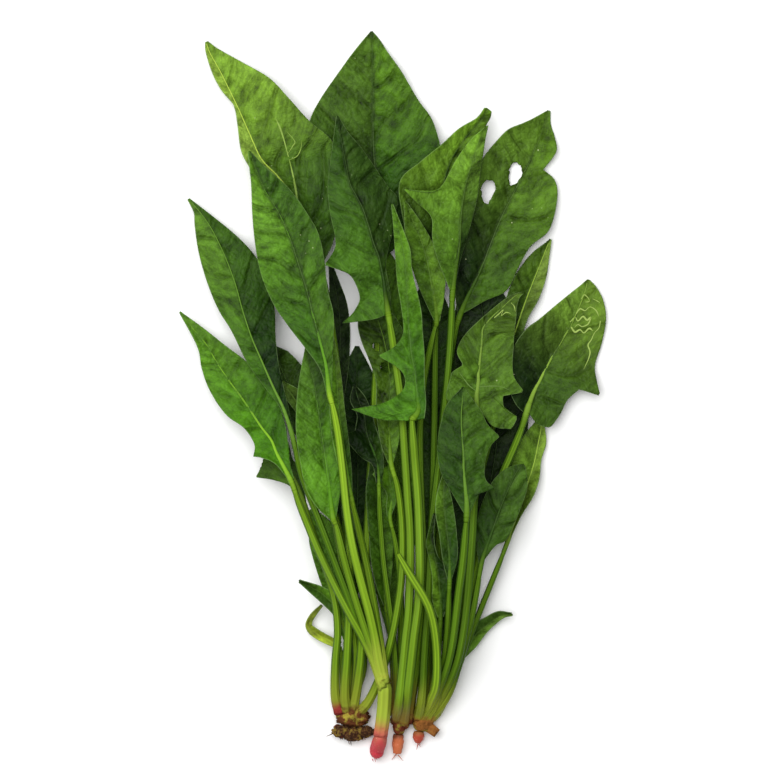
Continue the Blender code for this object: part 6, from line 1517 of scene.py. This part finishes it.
def make_earth():
    """Earthy root: lumps with crumbs stuck on and short threads of root."""
    build = Build()
    draw = np.random.default_rng(7)
    lumps = [((-26.2, -168.0, 3.6), (4.6, 3.0, 3.4)), ((-20.8, -169.4, 3.5), (5.2, 3.3, 3.4)),
             ((-14.4, -168.2, 3.2), (4.8, 3.0, 3.1))]
    for k, (centre, half) in enumerate(lumps):
        bumpy_ball(build, centre, half, 3.2, 0.16, 40 + k)
    for k in range(46):
        centre, half = lumps[k % 3]
        turn = draw.uniform(0.0, 2 * math.pi)
        rise = draw.uniform(-0.4, 0.9)
        out = np.array([math.cos(turn), math.sin(turn), rise])
        out /= np.linalg.norm(out)
        size = draw.uniform(0.5, 1.3)
        bumpy_ball(build, np.asarray(centre) + out * np.asarray(half) * 0.97,
                   (size, size * 0.9, size * 0.8), 1.2, 0.25, 60 + k)
    for k in range(16):
        centre, half = lumps[k % 3]
        turn = draw.uniform(-math.pi, 0.0)
        out = np.array([math.cos(turn), math.sin(turn) * 0.8, draw.uniform(-0.3, 0.3)])
        first = np.asarray(centre) + np.array([*SHIFT, 0.0]) + out * np.asarray(half) * 0.9
        reach = draw.uniform(1.5, 4.0)
        thread = spline([first, first + out * reach * 0.5 + draw.uniform(-0.6, 0.6, 3),
                         first + out * reach + draw.uniform(-0.9, 0.9, 3)], 8)
        thread[:, 2] = np.maximum(thread[:, 2], 0.35)
        build.add_tube(thread, np.linspace(0.34, 0.12, 8), np.linspace(0.34, 0.12, 8), 0.0, 5)
    return build.finish("root_a_fine", dirt_material(), ["root_a"], SLOTS["root_a"])


class SpinachLeaves(bpy.types.PropertyGroup):
    """Sizes of the blades."""

    blade_thickness: FloatProperty(
        name="Blade thickness", description="Thickness of a finished blade",
        default=0.0005, min=0.0002, max=0.0008, precision=5, unit="LENGTH")
    pucker: FloatProperty(
        name="Pucker", description="Height of the blisters between the veins, as a share",
        default=1.0, min=0.0, max=2.0, subtype="FACTOR")


class SpinachStage(bpy.types.PropertyGroup):
    """Light, floor and camera."""

    floor_colour: FloatVectorProperty(
        name="Floor", description="Colour of the floor", default=(0.97, 0.97, 0.965),
        subtype="COLOR", min=0.0, max=1.0)
    light: FloatProperty(
        name="Light", description="Power of the large lamp above, in watts", default=33.0,
        unit="POWER")
    sky: FloatProperty(
        name="Sky", description="Strength of the even light from all round", default=0.345,
        min=0.0, max=2.0, subtype="FACTOR")
    lens: FloatProperty(
        name="Lens", description="Focal length of the camera", default=300.0, unit="CAMERA")
    view_width: FloatProperty(
        name="View width", description="Width of the floor that the camera sees", default=0.384,
        unit="LENGTH")


class SPINACH_OT_leaves(bpy.types.Operator):
    """Lay the finished leaves one on another, with their stalks"""

    bl_idname = "spinach.leaves"
    bl_label = "Leaves and stalks"

    def execute(self, context):
        neck = neck_line()
        CROWN_HEIGHTS["b"] = float(np.interp(-145.0 + SHIFT[1], neck[:, 1], neck[:, 2]))
        for number, item in enumerate(LEAVES):
            make_leaf(item, number, context.scene.spinach_leaves)
        return {"FINISHED"}


class SPINACH_OT_stalks(bpy.types.Operator):
    """Close each plant's stalks with its crown and make them one piece"""

    bl_idname = "spinach.stalks"
    bl_label = "Stalk pieces"

    def execute(self, context):
        broken = {"stalk": BROKEN_STALK, "radii": (2.2, 2.1)}
        line, radius, s = lay_stalk(broken, PLANT_POINTS["d"], CROWN_HEIGHT)
        put_stalk(STALKS["d"], line, radius, s, 0.8)
        stub = np.array([(x, y, 4.0) for x, y in TAN_STUB]) + np.array([*SHIFT, 0.0])
        line = spline(stub, 5)
        STALKS["d"].add_tube(line, np.linspace(3.0, 2.3, 5), np.linspace(2.8, 2.0, 5), 0.3, 12,
                             along=np.full(5, 0.0), tone=np.full(5, 0.5))
        make_crowns()
        for key, build in STALKS.items():
            surface = stalk_material("stalk_" + key, BASE_TINTS[key], CROWN_TINTS[key],
                                     RED_TINTS.get(key, RED_TINTS["a"]))
            build.finish("stalks_%s_fine" % key, surface, ["stalks_" + key], "stalk_green")
        return {"FINISHED"}


class SPINACH_OT_roots(bpy.types.Operator):
    """Make the four roots"""

    bl_idname = "spinach.roots"
    bl_label = "Roots"

    def execute(self, context):
        neck = neck_line() - np.array([*SHIFT, 0.0])
        onward = neck[0] - neck[1]
        onward /= np.linalg.norm(onward)
        root_stub("root_b", [neck[0], neck[0] + 3.0 * onward, (-8.3, -176.4, 4.9),
                             (-8.9, -179.2, 4.2), (-9.3, -180.9, 3.8)],
                  (3.3, 3.6, 3.7, 3.2, 1.9), 3)
        root_stub("root_c", [(2.3, -169.6, 4.0), (2.1, -172.5, 3.7), (1.8, -176.0, 3.3),
                             (1.6, -179.0, 3.0)], (2.5, 2.9, 2.6, 2.0), 5)
        root_stub("root_d", [(12.4, -168.1, 3.6), (12.2, -170.2, 3.4), (12.0, -172.2, 3.1),
                             (11.9, -173.8, 3.0)], (2.4, 2.9, 2.4, 1.2), 6)
        make_earth()
        return {"FINISHED"}


class SPINACH_OT_marks(bpy.types.Operator):
    """Lay pale side veins and leaf miners' tracks on the blades"""

    bl_idname = "spinach.marks"
    bl_label = "Veins and tracks"

    def execute(self, context):
        marks = [(name, name + "_veins", strands, VEIN_TINTS[name])
                 for name, strands in SIDE_VEINS.items()]
        marks += [(name, name + "_tracks", strands, TRACK_TINT)
                  for name, strands in TRACKS.items()]
        for leaf_name, name, strands, tint in marks:
            piece = Build()
            for points, half in strands:
                strand(piece, leaf_name, points, half)
            piece.finish(name, strand_material(name, tint))
        return {"FINISHED"}


class SPINACH_OT_stage(bpy.types.Operator):
    """Make the floor, the light and the camera that looks straight down"""

    bl_idname = "spinach.stage"
    bl_label = "Stage"

    def execute(self, context):
        settings = context.scene.spinach_stage
        mesh = bpy.data.meshes.new("floor")
        corners = [(x * FLOOR_HALF, y * FLOOR_HALF, 0)
                   for x, y in ((-1, -1), (1, -1), (1, 1), (-1, 1))]
        mesh.from_pydata(corners, [], [(0, 1, 2, 3)])
        floor = bpy.data.objects.new("floor", mesh)
        context.scene.collection.objects.link(floor)
        shade = Shade("floor")
        mesh.materials.append(shade.finish((*settings.floor_colour, 1.0), 0.9))
        world = bpy.data.worlds.new("even_light")
        context.scene.world = world
        world.use_nodes = True
        sky = world.node_tree.nodes["Background"]
        sky.inputs["Color"].default_value = (1.0, 1.0, 1.0, 1.0)
        sky.inputs["Strength"].default_value = settings.sky
        lamp = bpy.data.lights.new("soft_lamp", "AREA")
        lamp.shape = "DISK"
        lamp.size = LAMP_SIZE
        lamp.energy = settings.light
        hung = bpy.data.objects.new("soft_lamp", lamp)
        hung.location = LAMP_PLACE
        hung.rotation_euler = (-hung.location).to_track_quat("-Z", "Y").to_euler()
        context.scene.collection.objects.link(hung)
        context.scene.view_settings.view_transform = "Standard"
        camera = bpy.data.cameras.new("camera")
        camera.lens = settings.lens
        camera.sensor_width = SENSOR_WIDTH
        distance = settings.view_width * camera.lens / camera.sensor_width
        seen = bpy.data.objects.new("camera", camera)
        seen.location = (*CAMERA_PLACE, distance)
        context.scene.collection.objects.link(seen)
        context.scene.camera = seen
        return {"FINISHED"}


class SPINACH_PT_panel(bpy.types.Panel):
    """Sizes of the bunch and the buttons that build it"""

    bl_label = "Spinach bunch"
    bl_idname = "SPINACH_PT_panel"
    bl_space_type = "VIEW_3D"
    bl_region_type = "UI"
    bl_category = "Spinach"

    def draw(self, context):
        for group in (context.scene.spinach_leaves, context.scene.spinach_stage):
            for key in group.__annotations__:
                self.layout.prop(group, key)
        for operator in STEPS:
            self.layout.operator(operator.bl_idname)


STEPS = (SPINACH_OT_leaves, SPINACH_OT_stalks, SPINACH_OT_roots, SPINACH_OT_marks,
         SPINACH_OT_stage)
CLASSES = (SpinachLeaves, SpinachStage, *STEPS, SPINACH_PT_panel)


def register():
    """Register the classes and hang their settings on the scene."""
    for item in CLASSES:
        bpy.utils.register_class(item)
    bpy.types.Scene.spinach_leaves = PointerProperty(type=SpinachLeaves)
    bpy.types.Scene.spinach_stage = PointerProperty(type=SpinachStage)


def unregister():
    """Take the settings and the classes away again."""
    del bpy.types.Scene.spinach_stage
    del bpy.types.Scene.spinach_leaves
    for item in reversed(CLASSES):
        bpy.utils.unregister_class(item)


def main():
    """Build everything in order."""
    register()
    bpy.ops.spinach.leaves()
    bpy.ops.spinach.stalks()
    bpy.ops.spinach.roots()
    bpy.ops.spinach.marks()
    bpy.ops.spinach.stage()


if __name__ == "__main__":
    main()
